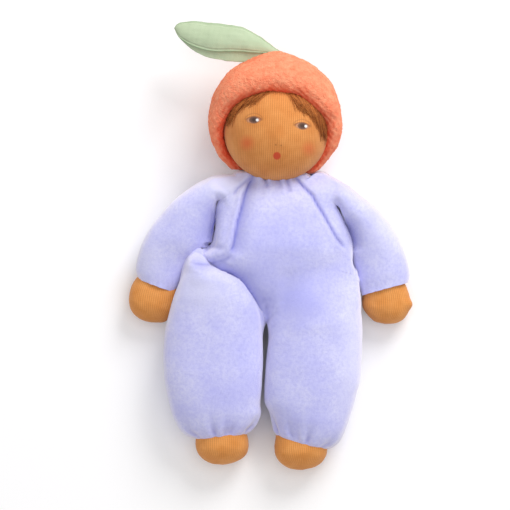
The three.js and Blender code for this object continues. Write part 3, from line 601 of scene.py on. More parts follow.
def field_of(rows):
    """A function that gives the distance of points outside a form made of rings, negative inside it.

    At one ring, with u and v the point's place in half widths and half thicknesses, the distance is the
    point's reach times (1 - 1 / r), where r = (|u|^n + |v|^n)^(1/n). The rings near the point are averaged,
    with weights exp(-d^2 / 2 s^2) of their distance d along the path, so the field has no steps. The power
    n is field_power and the width s is field_width.
    """
    centre = rows.mean(1)
    across = rows[:, 0] - centre
    quarter = rows.shape[1] // 4
    up = rows[:, quarter] - centre
    half = np.linalg.norm(across, axis=1)
    thick = np.linalg.norm(up, axis=1)
    way = unit(np.gradient(centre[:, :2], axis=0))

    def measure(points):
        to = points[:, None, :2] - centre[None, :, :2]
        along = np.einsum("ijk,jk->ij", to, way)
        far = along**2 + (0.15 * np.linalg.norm(to, axis=2)) ** 2
        weight = np.exp(-(far - far.min(1, keepdims=True)) / (2 * field_width**2))
        weight /= weight.sum(1, keepdims=True)
        off = points[:, None] - centre[None]
        u = np.einsum("ijk,jk->ij", off, across) / half**2
        v = off[..., 2] / thick
        r = (np.abs(u) ** field_power + np.abs(v) ** field_power) ** (1 / field_power)
        flat = np.hypot(u * half, v * thick)
        inside = (weight * flat * (1 - 1 / np.maximum(r, 0.05))).sum(1)
        over = np.maximum((weight * np.abs(along)).sum(1) - field_width, 0)
        return np.where(over > 0, np.hypot(np.maximum(inside, 0), over), inside)

    return measure


def fillet(points, normals, field, reach):
    """Points moved out along their normals by reach h^2 / 4, with h = 1 - |field| / reach where positive.

    Deeper inside the other form the skin sinks by up to deepest_sink, so that only one of the two shows.
    """
    reach = np.maximum(reach, 0.01)
    inside = field(points)
    h = np.clip(1 - np.abs(inside) / reach, 0, 1)
    sink = deepest_sink * smoothstep(-inside, 0.0, 5.0)
    return pushed(points, normals, reach * h**2 / 4 - sink)


fields = {name: field_of(rows[::2, ::4]) for name, rows in form_rows.items()}
print("fields of", sorted(fields))

# %% [markdown]
# Over the shoulders and the right hip the picture shows no crease at all. There the cloth is laid over both
# forms at once: its height is the higher of the two, blurred, and each form takes that height as far as a
# dividing line, beyond which it dips under the other. The two meshes then meet without a mark.


# %% The height of one skin laid over several forms
def skin_height(names, blur):
    """Heights on a grid of square millimetres, blurred by a Gaussian, and read between cells in straight
    lines. A cell holds the highest point of the forms' rings, filled in halfway between points."""
    corner, cells = np.array([-112.0, -142.0]), (226, 206)
    top = np.zeros(cells)
    for name in names:
        rows = form_rows[name]
        rows = np.concatenate([rows, (rows + np.roll(rows, -1, 1)) / 2], 1)
        rows = np.concatenate([rows, (rows[1:] + rows[:-1]) / 2], 0).reshape(-1, 3)
        spot = np.floor(rows[:, :2] - corner).astype(int)
        np.maximum.at(top, (spot[:, 0], spot[:, 1]), rows[:, 2])
    seen = (top > 0).astype(float)
    spread = [np.exp(-((np.subtract.outer(np.arange(n), np.arange(n)) / blur) ** 2) / 2) for n in cells]
    smooth = (spread[0] @ top @ spread[1]) / np.maximum(spread[0] @ seen @ spread[1], 1e-3)

    def height(points):
        place = np.clip(points[:, :2] - corner - 0.5, 0, np.array(cells) - 1.001)
        cell = place.astype(int)
        (x, y), (u, v) = cell.T, (place - cell).T
        return (smooth[x, y] * (1 - u) * (1 - v) + smooth[x + 1, y] * u * (1 - v)
                + smooth[x, y + 1] * (1 - u) * v + smooth[x + 1, y + 1] * u * v)

    return height


armpits = {
    "left": [(-39.2, 34.5), (-40.4, 20.1), (-41.3, 10.7), (-42.4, 1.3), (-46.5, -1.3), (-53.3, -5.1),
             (-57.5, -12)],
    "right": [(50.5, 36), (47.9, 29.4), (49.7, 24.8), (53.5, 18.6), (57.4, 9), (59.1, 0.8), (61, -8)],
}
# the form on the left of the line and on its right, the line, the crease to stay clear of
skin_zones = [
    ("torso", "right_leg", [(3, -42), (18, -33), (38, -25), (54, -19), (68, -14)], None),
    ("torso", "left_arm", [(-24, 66), (-23.5, 56), (-23.5, 48), (-29, 40), (-37, 33)], armpits["left"]),
    ("right_arm", "torso", [(25, 66), (25, 56), (25, 48.5), (31, 41), (39, 35.5), (46.5, 33)],
     armpits["right"]),
]
skin_blur = 5.0
# mm from the line up to which the height is the skin's, and from which on it is the form's own
skin_near, skin_far = 15.0, 24.0
skin_heights = [skin_height([left, right], skin_blur) for left, right, _, _ in skin_zones]


def lay_skin(name, points, normals):
    """Give a form the common height near the lines where it meets its neighbours.

    Past the line by 1.5 mm the form on its left dips by a quarter of the distance, to 1.6 mm. The form on
    its right does the same on the other side, from 0.8 mm on.
    """
    for (left, right, line, crease), height in zip(skin_zones, skin_heights):
        if name not in (left, right):
            continue
        far, along, hand = near_line(points, line)
        own = far * hand * (1 if name == left else -1)
        dip = np.clip(0.25 * (-own - (1.5 if name == left else 0.8)), 0, 1.6) + (0 if name == left else 0.03)
        share = (1 - smoothstep(far, skin_near, skin_far)) * smoothstep(normals[:, 2], 0.15, 0.5)
        if crease:
            share *= smoothstep(near_line(points, crease)[0], 2.5, 9.0) * smoothstep(1 - along, 0.0, 0.2)
        else:
            share *= smoothstep(points[:, 0], 4.0, 14.0)
        points = points.copy()
        points[:, 2] += share * (height(points) - dip - points[:, 2])
    return points


print(len(skin_zones), "zones of laid skin")

# %% [markdown]
# The photograph's folds, read as lines in the plane of the picture: the raglan seams, the creases in both
# armpits, the pleats under the chin and the deep fold where the left thigh lies against the belly.

# %% Seam and fold lines
# line, width of the soft side, width of the crisp side, depth, lift of the crisp edge, soft side,
# and the share of the line's length over which it fades in
fold_lines = {
    "right_raglan": ([
        (13.9, 53), (19.9, 46), (27.3, 39.4), (31.1, 33.2), (36.2, 25.8), (40.7, 18.5), (45.7, 10.6),
        (50.1, 5.9), (55.5, 4.2)], 1.4, 1.1, 2.2, 0.5, 1, 0.08),
    "left_raglan": ([
        (-13, 53), (-16.5, 46), (-19.6, 38), (-21.6, 27), (-23.3, 19.8), (-24.8, 8), (-26.6, -1),
        (-27.4, -7.5)], 6, 1.2, 3.7, 1, 1, 0.12),
    "left_thigh": ([
        (-43.5, -15.4), (-35.4, -17), (-25.5, -19.2), (-19.4, -23.2), (-12.1, -33.6), (-5.3, -43.7),
        (-0.6, -49.5)], 6, 1.8, 3.8, 0, 1, 0.08),
    "pouch": ([
        (-57, -11), (-51, -12.4), (-43.5, -12.6), (-37, -10.4), (-30, -8.2),
        (-25, -4)], 3.2, 3.2, 2.2, 0.4, 1, 0.25),
    "hip_edge": ([(-30, -2.6), (-36, -0.2), (-42, 0.6), (-48, -2.4)], 2.4, 2.4, 1.4, 0.3, 1, 0.3),
    "crotch": ([(-5.5, -27), (-2.6, -34), (0.2, -41), (1.2, -47), (1, -54)], 2, 2, 1.8, 0, 1, 0.3),
    "chin_pleat": ([(-12.6, 53), (-18.6, 47), (-24.5, 41.5), (-28, 36)], 1.3, 1.3, 1.8, 0.5, 1, 0.08),
    "tuck_1": ([(-9, 54), (-6.4, 50.5), (-4.6, 46), (-4, 42)], 1.6, 1, 1.7, 0.5, 1, 0.05),
    "tuck_2": ([(2.4, 54), (3.4, 50), (5, 45.5), (5.4, 42)], 1, 1.6, 1.4, 0.4, 1, 0.05),
    "tuck_3": ([(8.6, 54), (9.3, 48.4), (10.6, 44.5), (12.6, 40)], 1.2, 1.8, 1.6, 0.4, 1, 0.05),
    "left_armpit": (armpits["left"][:4], 6, 1.8, 2.6, 0, -1, 0.4),
    "right_armpit": (armpits["right"][1:6], 5, 1.8, 2.2, 0, 1, 0.4),
}
fade_out = 0.14


def press_folds(points, normals, names, ahead=0.4):
    """Grooves along the named lines, pressed straight down into the side that faces the viewer.

    A groove of width w and depth d takes d exp(-(x / w)^1.5) off, with one width on its soft side and
    another on its crisp side. The crisp side's edge rises by l exp(-((x - 2.4 w) / (1.5 w))^2).
    Both fade at the line's ends.
    """
    facing = smoothstep(normals[:, 2], -0.05, ahead)
    for name in names:
        line, soft, crisp, depth, lift, soft_side, fade = fold_lines[name]
        far, along, hand = near_line(points, line)
        on_soft = smoothstep(far * hand * soft_side, -0.6, 0.6)
        width = crisp + (soft - crisp) * on_soft
        ends = smoothstep(along, 0, fade) * smoothstep(1 - along, 0, fade_out)
        down = depth * np.exp(-((far / width) ** 1.5))
        rise = lift * (1 - on_soft) * np.exp(-(((far - 2.4 * crisp) / (1.5 * crisp)) ** 2))
        points = points + np.outer((rise - down) * ends * facing, [0, 0, 1.0])
    return points


# how far from its line a fold's deepest visible part lies, where the next form hangs over the line; its
# painted shade starts there
hidden_strip = {"left_thigh": 1.7, "left_armpit": 1.2, "right_armpit": 1.2}
# folds painted with darker shade than their depth would give
fold_shade_strength = {"right_raglan": 1.0, "left_armpit": 1.0, "right_armpit": 0.9, "left_thigh": 1.1}
# depth of a fold at which its painted shade is full
full_dark_depth = 3.4
# Painted light and painted shade in broad patches: middle x and y, width, height, and lighter (+) or darker
# (-)
painted_light_and_shade = [
    (20, -34, 20, 16, -0.8), (-12, -20, 10, 9, -0.35), (-46, -30, 20, 14, 0.7), (-34, 45, 18, 10, 0.9),
    (36, 46, 14, 9, 0.3), (8, 2, 26, 20, -0.4), (0, 38, 22, 8, 0.2), (80, 20, 14, 20, 0.4),
    (-84, -12, 12, 14, 0.4), (-30, -90, 22, 26, -0.25), (34, -112, 18, 14, -0.2), (62, -70, 10, 50, 0.5),
]


def shade_folds(piece, names, tucks=None):
    """Painted shade in the folds: exp(-(x / w)^1.5) beside each line, with a thin darker core
    exp(-(x / 1.1)^2). tucks adds painted shade of its own for each vertex. Two more attributes hold the
    painted light and the painted shade of the broad patches."""
    points, normals = points_of(piece), normals_of(piece)
    total = np.zeros(len(points))
    for name in names:
        line, soft, crisp, depth, _, soft_side, fade = fold_lines[name]
        far, along, hand = near_line(points, line)
        hidden = hidden_strip.get(name, 0.0)
        far = np.maximum(far - hidden, 0)
        width = crisp + 1.4 * hidden + (0.8 * soft - crisp) * smoothstep(far * hand * soft_side, -0.6, 0.6)
        ends = smoothstep(along, 0, fade) * smoothstep(1 - along, 0, 0.34 if hidden else fade_out)
        dark = fold_shade_strength.get(name, min(depth / full_dark_depth, 1))
        shade = dark * (0.62 * np.exp(-((far / width) ** 1.5)) + 0.4 * np.exp(-((far / 1.1) ** 2)))
        total = np.maximum(total, ends * shade)
    if tucks is not None:
        total[: len(tucks)] += tucks
    # painted shade in the folds and tucks, kept to the sides that face the viewer
    put_attribute(piece, "seam", np.clip(total, 0, 1) * smoothstep(normals[:, 2], -0.05, 0.3))
    # painted light and painted shade in broad patches
    lift = np.zeros(len(points))
    for x, y, wide, tall, amount in painted_light_and_shade:
        lift += amount * np.exp(-(((points[:, 0] - x) / wide) ** 2) - ((points[:, 1] - y) / tall) ** 2)
    put_attribute(piece, "pale_and_lit", np.maximum(lift, 0))
    put_attribute(piece, "painted_shade", np.maximum(-lift, 0))


print(len(fold_lines), "fold lines,", len(painted_light_and_shade), "patches of stroked pile")

# %% [markdown]
# ## Velour
#
# Velour is a knit with a short cut pile. It shows no threads: its look is a soft sheen at the edges and a
# faint cloudiness. A Principled shader with sheen gives the edge, helped by a painted sheen, a paler tone
# painted where the surface faces sideways. Noise at three sizes gives cloud, pile and bump. Painted shade
# darkens the folds, and broad patches of painted light and painted shade lie over the suit.


# %% Velour for the suit and the leaf
def velour(name, base, pressed, pale_and_lit, edge, fold, sheen, painted_sheen, clouds, grain):
    """Pile cloth: a base colour; a darker tone for fine streaks of pressed pile and for painted shade; a
    lighter tone for clouds and for painted light; a pale sheen colour, which is also painted at the edges as
    a painted sheen, by its strength times the share of the way from 0.45 to 1 that the surface faces
    sideways;
    and the colour of the painted shade in folds. clouds and grain say how strong the wide patches and the
    fine streaks of pressed pile are."""
    material, tree, shader = material_with(name)
    where = add(tree, "TexCoord").outputs["Object"]
    pile, nap = noise(tree, where, 2300.0, 3.0, 0.7), noise(tree, where, 420.0, 4.0, 0.65)
    cloud = ranged(tree, noise(tree, where, 55.0, 4.0, 0.55), 0.35, 0.7, 0.0, clouds)
    tone = mixed(tree, cloud, base, pale_and_lit)
    tone = mixed(tree, ranged(tree, nap, 0.3, 0.6, grain, 0.0), tone, pressed)
    # painted light and painted shade of the broad patches
    for layer, colour in (("pale_and_lit", pale_and_lit), ("painted_shade", pressed)):
        tone = mixed(tree, attribute(tree, layer), tone, colour)
    # painted sheen: the tone goes paler where the surface faces sideways to the camera
    aside = add(tree, "LayerWeight", Blend=0.5).outputs["Facing"]
    tone = mixed(tree, ranged(tree, aside, 0.45, 1.0, 0.0, painted_sheen), tone, edge)
    # painted shade in the suit's folds; on the leaf the same attribute darkens its seam line
    tone = mixed(tree, attribute(tree, "seam"), tone, fold)
    surface(tree, shader, tone, calculate(tree, "ADD", pile, nap), 0.2 + 0.6 * grain, 0.0006, Roughness=0.9,
            Specular_IOR_Level=0.15, Sheen_Weight=sheen, Sheen_Roughness=0.6, Sheen_Tint=edge)
    return material


# suit colours: base, darker for pressed pile and painted shade, lighter for clouds and painted light, pale
# painted sheen, painted shade in folds
suit_velour = velour("lavender_velour", "#c6c6f9", "#a6a7ec", "#dedefc", "#f8f4fe", "#7d7fd0",
                     sheen=1.0, painted_sheen=0.6, clouds=0.75, grain=0.5)
# the leaf: a weaker painted sheen at its edges, and its darkest colour darkens the seam line
leaf_velour = velour("sage_velour", "#b0bf9f", "#84a57c", "#c2cfb2", "#d9e0ca", "#84a57c",
                     sheen=0.35, painted_sheen=0.2, clouds=0.3, grain=0.1)
print("velours", suit_velour.name, leaf_velour.name)


# %% Fillets, laid skin, folds and flat, in one order for every form
uneven_height, uneven_size, uneven_seed = 0.35, 46.0, 7


def finish_suit(name, piece, joins, folds, extra=None):
    """Fillets towards the neighbours, laid skin, folds, a little unevenness and the flat that it lies on."""
    points, normals = points_of(piece), normals_of(piece)
    for other, reach in joins:
        points = fillet(points, normals, fields[other], reach(points))
    move_points(piece, points)
    points = lay_skin(name, points, normals_of(piece))
    move_points(piece, points)
    normals = normals_of(piece)
    points = press_folds(points, normals, folds)
    points = pushed(points, normals, uneven_height * wavy(points, uneven_size, uneven_seed))
    move_points(piece, off_floor(points if extra is None else extra(points, normals)))
    piece.data.materials.append(suit_velour)
    return piece


# reach of the fillets in mm: in an armpit's crease and how much more over the shoulder, then round the
# hips and how much less along the left thigh's fold
crease_fillet, shoulder_fillet = 1.0, 12.0
hip_fillet, thigh_cut = 16.0, 14.8


def torso_reach(side):
    """Long over the shoulder and at the back, and almost none down in the armpit crease of one side."""

    def reach(points):
        ahead = smoothstep(points[:, 2], 12.0, 24.0)
        far = near_line(points, armpits[side])[0]
        back = 0.5 * (1 - ahead) * smoothstep(far, 1.5, 7.0)
        return crease_fillet + shoulder_fillet * np.maximum(smoothstep(far, 2.0, 11.0), back)

    return reach


def hip_reach(points):
    """Long over hips and seat; shorter along the left thigh's fold on the front."""
    front = smoothstep(points[:, 2], 22.0, 40.0)
    left = smoothstep(-points[:, 0], -6.0, 6.0)
    return hip_fillet - thigh_cut * front * left


print("suit tools ready")

# %% The body of the suit
torso = piece_from_grid("suit_body", form_rows["torso"])
torso_joins = [("left_arm", torso_reach("left")), ("right_arm", torso_reach("right")),
               ("left_leg", hip_reach), ("right_leg", hip_reach)]


neckline = np.array([0.0, 52.0, 28.0])
pleat_depth, pleat_length = 1.6, 8.0


def neck_gathers(points, normals):
    """Pleats that run out from the drawn-in neckline and fade over the shoulders."""
    off = points - neckline
    angle = np.arctan2(off[:, 2], off[:, 0])
    away = np.hypot(off[:, 0] * 0.8, off[:, 2])
    near = np.exp(-(np.maximum(neckline[1] - points[:, 1], 0) / pleat_length) ** 1.4)
    fold = np.sin(12 * angle + 1.5 * np.sin(3 * angle) + 0.4) + 0.45 * np.sin(21 * angle + 2.0)
    near = near * smoothstep(away, 6, 14) * (1 - smoothstep(np.abs(points[:, 0]), 13, 21))
    return pushed(points, normals, pleat_depth * near * fold)


finish_suit("torso", torso, torso_joins, list(fold_lines), neck_gathers)
shade_folds(torso, list(fold_lines))
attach(torso, "torso")
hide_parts("suit_front", "suit_back", "torso_wool")

# %% The sleeves: shoulder cloth and sleeve share one surface, cut at one ring
cut_share = 0.46
cut_overlap = 4


def cut_rows(rows, first, last):
    """Part of a finished grid. Past a cut, four more rings dip little by little towards their middle, so
    that they lie hidden under the other piece, and both pieces shade alike at the ring they share."""
    part = rows[first:last].copy()
    ends = (0, 1, 2, 3) if first else (-1, -2, -3, -4)
    for at, depth in zip(ends, (0.5, 0.18, 0.07, 0.02)):
        to = part[at].mean(0) - part[at]
        part[at] += to * depth / np.linalg.norm(to, axis=1)[:, None]
    return part


def make_arm(name):
    """Shoulder cloth and sleeve, cut from one finished sleeve at a ring."""
    count, sides = arm_grid
    rows = form_rows[f"{name}_arm"]
    hem = rows.mean(1)
    axis = unit(hem[-1, :2] - hem[-12, :2])

    def cuff(points, normals):
        """Small gathers just above the hem, which fade within a few millimetres."""
        above = -(points[:, :2] - hem[-1, :2]) @ axis
        far = np.linalg.norm(points[:, :2] - hem[-1, :2], axis=1)
        near = np.exp(-((np.maximum(above, 0) / 4.5) ** 1.5)) * (far < 40)
        ripple = np.sin(0.9 * points[:, 0] + 0.5 * points[:, 2]) + 0.5 * np.sin(1.9 * points[:, 0] + 1.0)
        return pushed(points, normals, 0.14 * near * ripple)

    def cuff_and_root(points, normals):
        """The cuff's gathers. The root sinks a little under the body's cloth, up to 25 mm from the middle."""
        under = 1 - smoothstep(np.abs(points[:, 0]), 18, 25)
        return pushed(cuff(points, normals), normals, -under)

    whole = piece_from_grid(f"{name}_arm_pattern", rows)
    folds = [f"{name}_raglan", f"{name}_armpit"] + ["chin_pleat"] * (name == "left")
    finish_suit(f"{name}_arm", whole, [("torso", torso_reach(name))], folds, cuff_and_root)
    rows = points_of(whole)[: count * sides].reshape(count, sides, 3)
    bpy.data.objects.remove(whole)
    cut = int(count * cut_share)
    upper = piece_from_grid(f"{name}_shoulder_cloth", cut_rows(rows, 0, cut + cut_overlap + 1))
    lower = piece_from_grid(f"{name}_sleeve_cloth", cut_rows(rows, cut - cut_overlap, count))
    for piece in (upper, lower):
        shade_folds(piece, folds)
        piece.data.materials.append(suit_velour)
    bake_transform(upper)
    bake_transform(lower)
    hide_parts(f"{name}_shoulder_wad")
    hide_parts(f"{name}_sleeve", f"{name}_arm_wool")
    return upper, lower


arm_pieces = {name: make_arm(name) for name in arm_stations}
print("sleeves", [p.name for pair in arm_pieces.values() for p in pair])

# %% The trouser legs
def make_leg(name):
    """One leg from inside the body down to the gathered hem over the ankle."""
    rows = form_rows[f"{name}_leg"]
    leg = piece_from_grid(f"{name}_trouser_cloth", rows)
    hem = rows[-1].mean(0)
    side, tilt = leg_facts[name][0], math.radians(leg_facts[name][1])

    def gathers(points, normals):
        """Small tucks that the gathering thread pulls into the cloth above the hem."""
        off = points - hem
        angle = np.arctan2(off[:, 2], off[:, 0])
        above = np.maximum(off[:, 1] * math.cos(tilt) - off[:, 0] * math.sin(tilt), 0)
        near = np.exp(-((above / 9.0) ** 1.5)) * (0.12 + 0.88 * smoothstep(above, 0.0, 4.0))
        tuck = np.sin(9 * angle + 0.9 * np.sin(4 * angle + side)) + 0.4 * np.sin(17 * angle + 2.0 * side)
        # painted shade in the hollows of the tucks
        depths.append(near * np.maximum(-tuck, 0))
        return pushed(points, normals, 0.95 * near * tuck)

    depths = []
    folds = ["pouch", "crotch"] if name == "left" else ["crotch"]
    finish_suit(f"{name}_leg", leg, [("torso", hip_reach)], folds, gathers)
    shade_folds(leg, folds, 0.5 * depths[0])
    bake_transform(leg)
    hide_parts(f"{name}_trouser_leg", f"{name}_leg_wool")
    return leg


leg_pieces = {name: make_leg(name) for name in leg_facts}
print("legs", [p.name for p in leg_pieces.values()])

# %% [markdown]
# ## Knitted jersey
#
# Head, hands and feet are cotton jersey, a fine knit. Its wales, the little columns of stitches, run up the
# head and along the limbs. They stand in ridges 1.5 mm apart, each with small v-shaped stitches.


# %% Jersey with wales along the piece's own coordinates
def jersey(name, base, deep, light, ridge_width, painted=()):
    """Fine knit: ridges across one coordinate, stitches along the other, and soft colour changes. The deep
    tone is painted shade in the grooves between the ridges. Each layer in painted is an attribute and the
    colour that it lays on the ridges."""
    material, tree, shader = material_with(name)
    where = add(tree, "TexCoord").outputs["Object"]
    bent = calculate(tree, "MULTIPLY_ADD", noise(tree, where, 120.0, 2.0), 0.5, attribute(tree, "across"))
    ridge = calculate(tree, "SINE", calculate(tree, "MULTIPLY", bent, 2 * math.pi / ridge_width))
    row = calculate(tree, "MULTIPLY", attribute(tree, "along"), 2 * math.pi / (ridge_width * 0.8))
    stitch = calculate(tree, "SINE", calculate(tree, "MULTIPLY_ADD", ridge, 1.2, row))
    height = calculate(tree, "MULTIPLY_ADD", stitch, 0.35, ridge)
    shade = ranged(tree, height, -1.3, 1.3)
    blotch = ranged(tree, noise(tree, where, 90.0, 5.0, 0.6), 0.35, 0.7)
    tone = mixed(tree, blotch, base, light)
    # painted shade: the deep tone in the grooves between the ridges
    tone = mixed(tree, ranged(tree, shade, 0.0, 1.0, 0.42, 0.0), tone, deep)
    worn = calculate(tree, "MULTIPLY_ADD", shade, 0.18, 0.86, clamp=True)
    for layer, paint in painted:
        tone = mixed(tree, calculate(tree, "MULTIPLY", attribute(tree, layer), worn, clamp=True), tone, paint)
    surface(tree, shader, tone, height, 0.4, 0.00012, Roughness=0.82, Specular_IOR_Level=0.2,
            Sheen_Weight=0.12, Sheen_Roughness=0.5)
    return material


ridge_width = 1.5
# base, deep tone painted as shade in the grooves, lighter blotches
skin_jersey = jersey("brown_jersey", "#e0934a", "#a8652f", "#efa75f", ridge_width)
face_layers = [("cheek", "#d8552c"), ("eye", "#c99a86"), ("iris", "#503d38"), ("pupil", "#2c2122"),
               ("lid", "#7a4630"), ("glint", "#fdfaf8"), ("nostril", "#7c4420"), ("lips", "#c8402a")]
face_jersey = jersey("brown_face_jersey", "#d98b48", "#9f5d2b", "#e99f5a", ridge_width, face_layers)
print("jerseys", skin_jersey.name, face_jersey.name)

# %% [markdown]
# ## The head
#
# A firm ball of wool in tight jersey, a little wider than tall. The face is painted on the knit. Painting
# it on the mesh as numbers at each vertex keeps it part of the surface, so it follows the head when it
# turns, without a picture file. The grid is fine enough for an eye of eleven millimetres.

# %% The head with its painted face
head_centre = np.array([0.0, 83.5, 38.0])
head_half = np.array([36.5, 35.5, 34.0])


def head_rows(count, sides):
    """An ellipsoid in rings about the line from chest to sky: centre + half sizes times
    (sin p cos a, sin p sin a, cos p), with p from 0 at the face's middle to pi at the back."""
    p = np.linspace(0.004, np.pi - 0.02, count)
    p = p - 0.32 * np.sin(p) * np.exp(-p)
    a = np.linspace(0, 2 * np.pi, sides, endpoint=False)
    ball = np.stack([np.sin(p)[:, None] * np.cos(a), np.sin(p)[:, None] * np.sin(a),
                     np.cos(p)[:, None] * np.ones(sides)], -1)
    return head_centre + head_half * ball


def almond(points, middle, long, tall, lean):
    """How far a point is outside an almond, in shares of it: (|u| / long)^1.6 + (|v| / tall)^2, less 1."""
    c, s = math.cos(lean), math.sin(lean)
    u = (points[:, 0] - middle[0]) * c + (points[:, 1] - middle[1]) * s
    v = -(points[:, 0] - middle[0]) * s + (points[:, 1] - middle[1]) * c
    return (np.abs(u) / long) ** 1.6 + (np.abs(v) / tall) ** 2 - 1


def spot(points, middle, radius, soft, wide=1.0):
    """1 within a radius of a place on the face, falling smoothly to 0 over the soft edge. wide stretches
    the spot sideways."""
    far = np.hypot((points[:, 0] - middle[0]) / wide, points[:, 1] - middle[1])
    return 1 - smoothstep(far, radius - soft, radius + soft)


rows = head_rows(420, 420)
head = piece_from_grid("head_skin_cloth", rows)
p = points_of(head)
nose = 0.9 * np.exp(-((p[:, 0] - 2.0) / 4.5) ** 2 - ((p[:, 1] - 76.5) / 5.5) ** 2)
front = smoothstep(p[:, 2], 40, 60)
move_points(head, pushed(p, normals_of(head), nose * front))
front = (p[:, 2] > 50).astype(float)
eyes = {"left": ((-16.0, 88.7), 0.08), "right": ((17.6, 86.3), -0.03)}
eye, lid, iris, pupil, glint = np.zeros((5, len(p)))
for middle, lean in eyes.values():
    m = np.array(middle)
    shape = almond(p, m, 4.7, 2.35, lean)
    above = smoothstep(p[:, 1] - m[1], -1.0, 0.8)
    eye += 1 - smoothstep(shape, -0.15, 0.25)
    lid += (0.35 + 0.65 * above) * np.exp(-(((shape - 0.05) / 0.3) ** 2))
    lid += 0.45 * above * np.exp(-((almond(p, m + (0.0, 0.3), 6.0, 4.3, lean) / 0.16) ** 2))
    iris += spot(p, m + (0.2, 0.0), 2.3, 0.45, 1.45) * (shape < 0.3)
    pupil += spot(p, m + (0.3, 0.1), 1.3, 0.6, 1.3)
    glint += spot(p, m + (2.5, 0.0), 0.95, 0.3)
cheek = 0.62 * spot(p, (-19.8, 72.7), 3.8, 3.6) + 0.5 * spot(p, (23.0, 71.0), 3.6, 3.6)
nostril = 0.6 * (spot(p, (0.1, 72.4), 0.5, 0.35) + spot(p, (3.8, 72.2), 0.5, 0.35))
lips = spot(p, (1.3, 64.9), 2.6, 0.4)
for layer, values in dict(eye=0.55 * eye, lid=0.75 * lid, iris=0.92 * iris, pupil=0.6 * pupil, glint=glint,
                          cheek=cheek, nostril=nostril, lips=0.95 * lips).items():
    put_attribute(head, layer, np.clip(values * front, 0, 1))
lie = np.arcsin(np.clip((p[:, 0] - head_centre[0]) / head_half[0], -1, 1)) * head_half[0]
put_attribute(head, "across", lie)
put_attribute(head, "along", p[:, 1])
head.data.materials.append(face_jersey)
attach(head, "head")
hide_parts("head_skin", "head_wool")
print("head", len(p), "vertices, eyes at", eyes["left"][0], eyes["right"][0])

# %% [markdown]
# ## Hands and feet
#
# Mittens and round feet of jersey, tied off inside the cuffs. Each is a short sack with a gathered root,
# rounder towards the outside, resting on the floor.


# %% One stuffed sack of jersey along a short path
def sack(name, body, middle_line, stations, wave, nub=None, count=90, sides=96):
    """Rings along a bent line in the plane, with half widths, half thicknesses and heights.

    The wales are counted by arc length round the widest ring, from its top, so they run along the sack.
    wave seeds its unevenness. nub is a small swelling: x, y, its height and its radius.
    """
    share = np.linspace(0, 1, count)
    share = share + 0.06 * np.sin(np.pi * share) ** 2 * share
    share = share / share[-1]
    at = through(np.column_stack([np.linspace(0, 1, len(middle_line)), middle_line]), share)
    step = np.gradient(at, axis=0)
    way = unit(step)
    half, thick, height, square = through(stations, share).T
    half, thick = np.maximum(half, 0.4), np.maximum(thick, 0.4)
    across = np.column_stack([-way[:, 1], way[:, 0]])
    rows = rings_round(at, height, across, half, thick, square, sides)
    piece = piece_from_grid(f"{name}_cloth", rows)
    points, normals = points_of(piece), normals_of(piece)
    points = pushed(points, normals, 0.3 * wavy(points, 22.0, wave))
    if nub is not None:
        far = np.linalg.norm(points[:, :2] - nub[:2], axis=1)
        points = pushed(points, normals, nub[2] * np.exp(-((far / nub[3]) ** 2)))
    move_points(piece, off_floor(points))
    ring = rows[int(half.argmax())]
    arc = np.concatenate([[0], np.cumsum(np.linalg.norm(np.diff(ring, axis=0), axis=1))])
    top = sides // 4
    lay = (arc - arc[top] + arc[-1] / 2) % arc[-1]
    put_attribute(piece, "across", np.tile(lay, count))
    length = np.concatenate([[0], np.cumsum(np.linalg.norm(step[1:], axis=1))])
    put_attribute(piece, "along", np.repeat(length, sides))
    piece.data.materials.append(skin_jersey)
    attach(piece, body)
    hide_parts(name, f"{name}_wool")
    return piece


# share, half width, half thickness, height of the middle, squareness
hand_stations = [
    (0, 12.2, 9.6, 13, 2.1), (0.14, 13.2, 10.4, 12.9, 2.1), (0.3, 15.6, 11.8, 12.6, 2.15),
    (0.5, 16.8, 12.4, 12.2, 2.2), (0.68, 16.2, 12, 11.9, 2.2), (0.82, 13.8, 10.4, 11, 2.15),
    (0.92, 10.2, 7.8, 10.2, 2.1), (0.98, 5.6, 4.4, 9.8, 2), (1, 0.6, 0.6, 9.6, 2),
]
left_hand_stations = np.array(hand_stations) * (1, 1.07, 1, 1, 1)
foot_stations = [
    (0, 14.8, 12.2, 16.2, 2.1), (0.2, 16.6, 13.4, 15.8, 2.15), (0.42, 18.3, 14.6, 15.2, 2.2),
    (0.62, 18.2, 14.4, 14.6, 2.2), (0.78, 15.8, 12.6, 13.2, 2.15), (0.9, 11.4, 9.4, 12, 2.1),
    (0.97, 6.4, 5.4, 11.2, 2), (1, 0.6, 0.6, 11, 2),
]
# body, line along the middle, stations, seed of the unevenness, nub
sacks = {
    "left_hand": ("left_arm", [(-75.5, -20), (-78.2, -31.5), (-79.6, -43), (-80.4, -55.2)],
                  left_hand_stations, 11),
    "right_hand": ("right_arm", [(80.5, -14), (82.6, -25), (84, -36), (83.8, -47.8)],
                   hand_stations, 12, (100, -33, 1.6, 3.2)),
    "left_foot": ("left_leg", [(-27.4, -120), (-26.8, -132), (-25.9, -143), (-25.2, -152.6)],
                  foot_stations, 13),
    "right_foot": ("right_leg", [(26.6, -120), (28, -132), (29.8, -143), (31.2, -153.4)],
                   foot_stations, 14),
}
print("hands and feet", [sack(name, *facts).name for name, facts in sacks.items()])

# %% [markdown]
# ## The hood
#
# A cap of terry with its edge turned over into a thick fuzzy roll. Terry is a cloth of small loops, so the
# surface is lumpy at about a millimetre. The cap is a lofted ball whose opening tips forward, and the roll
# runs round the face, thick over the brow and thin under the cheeks.


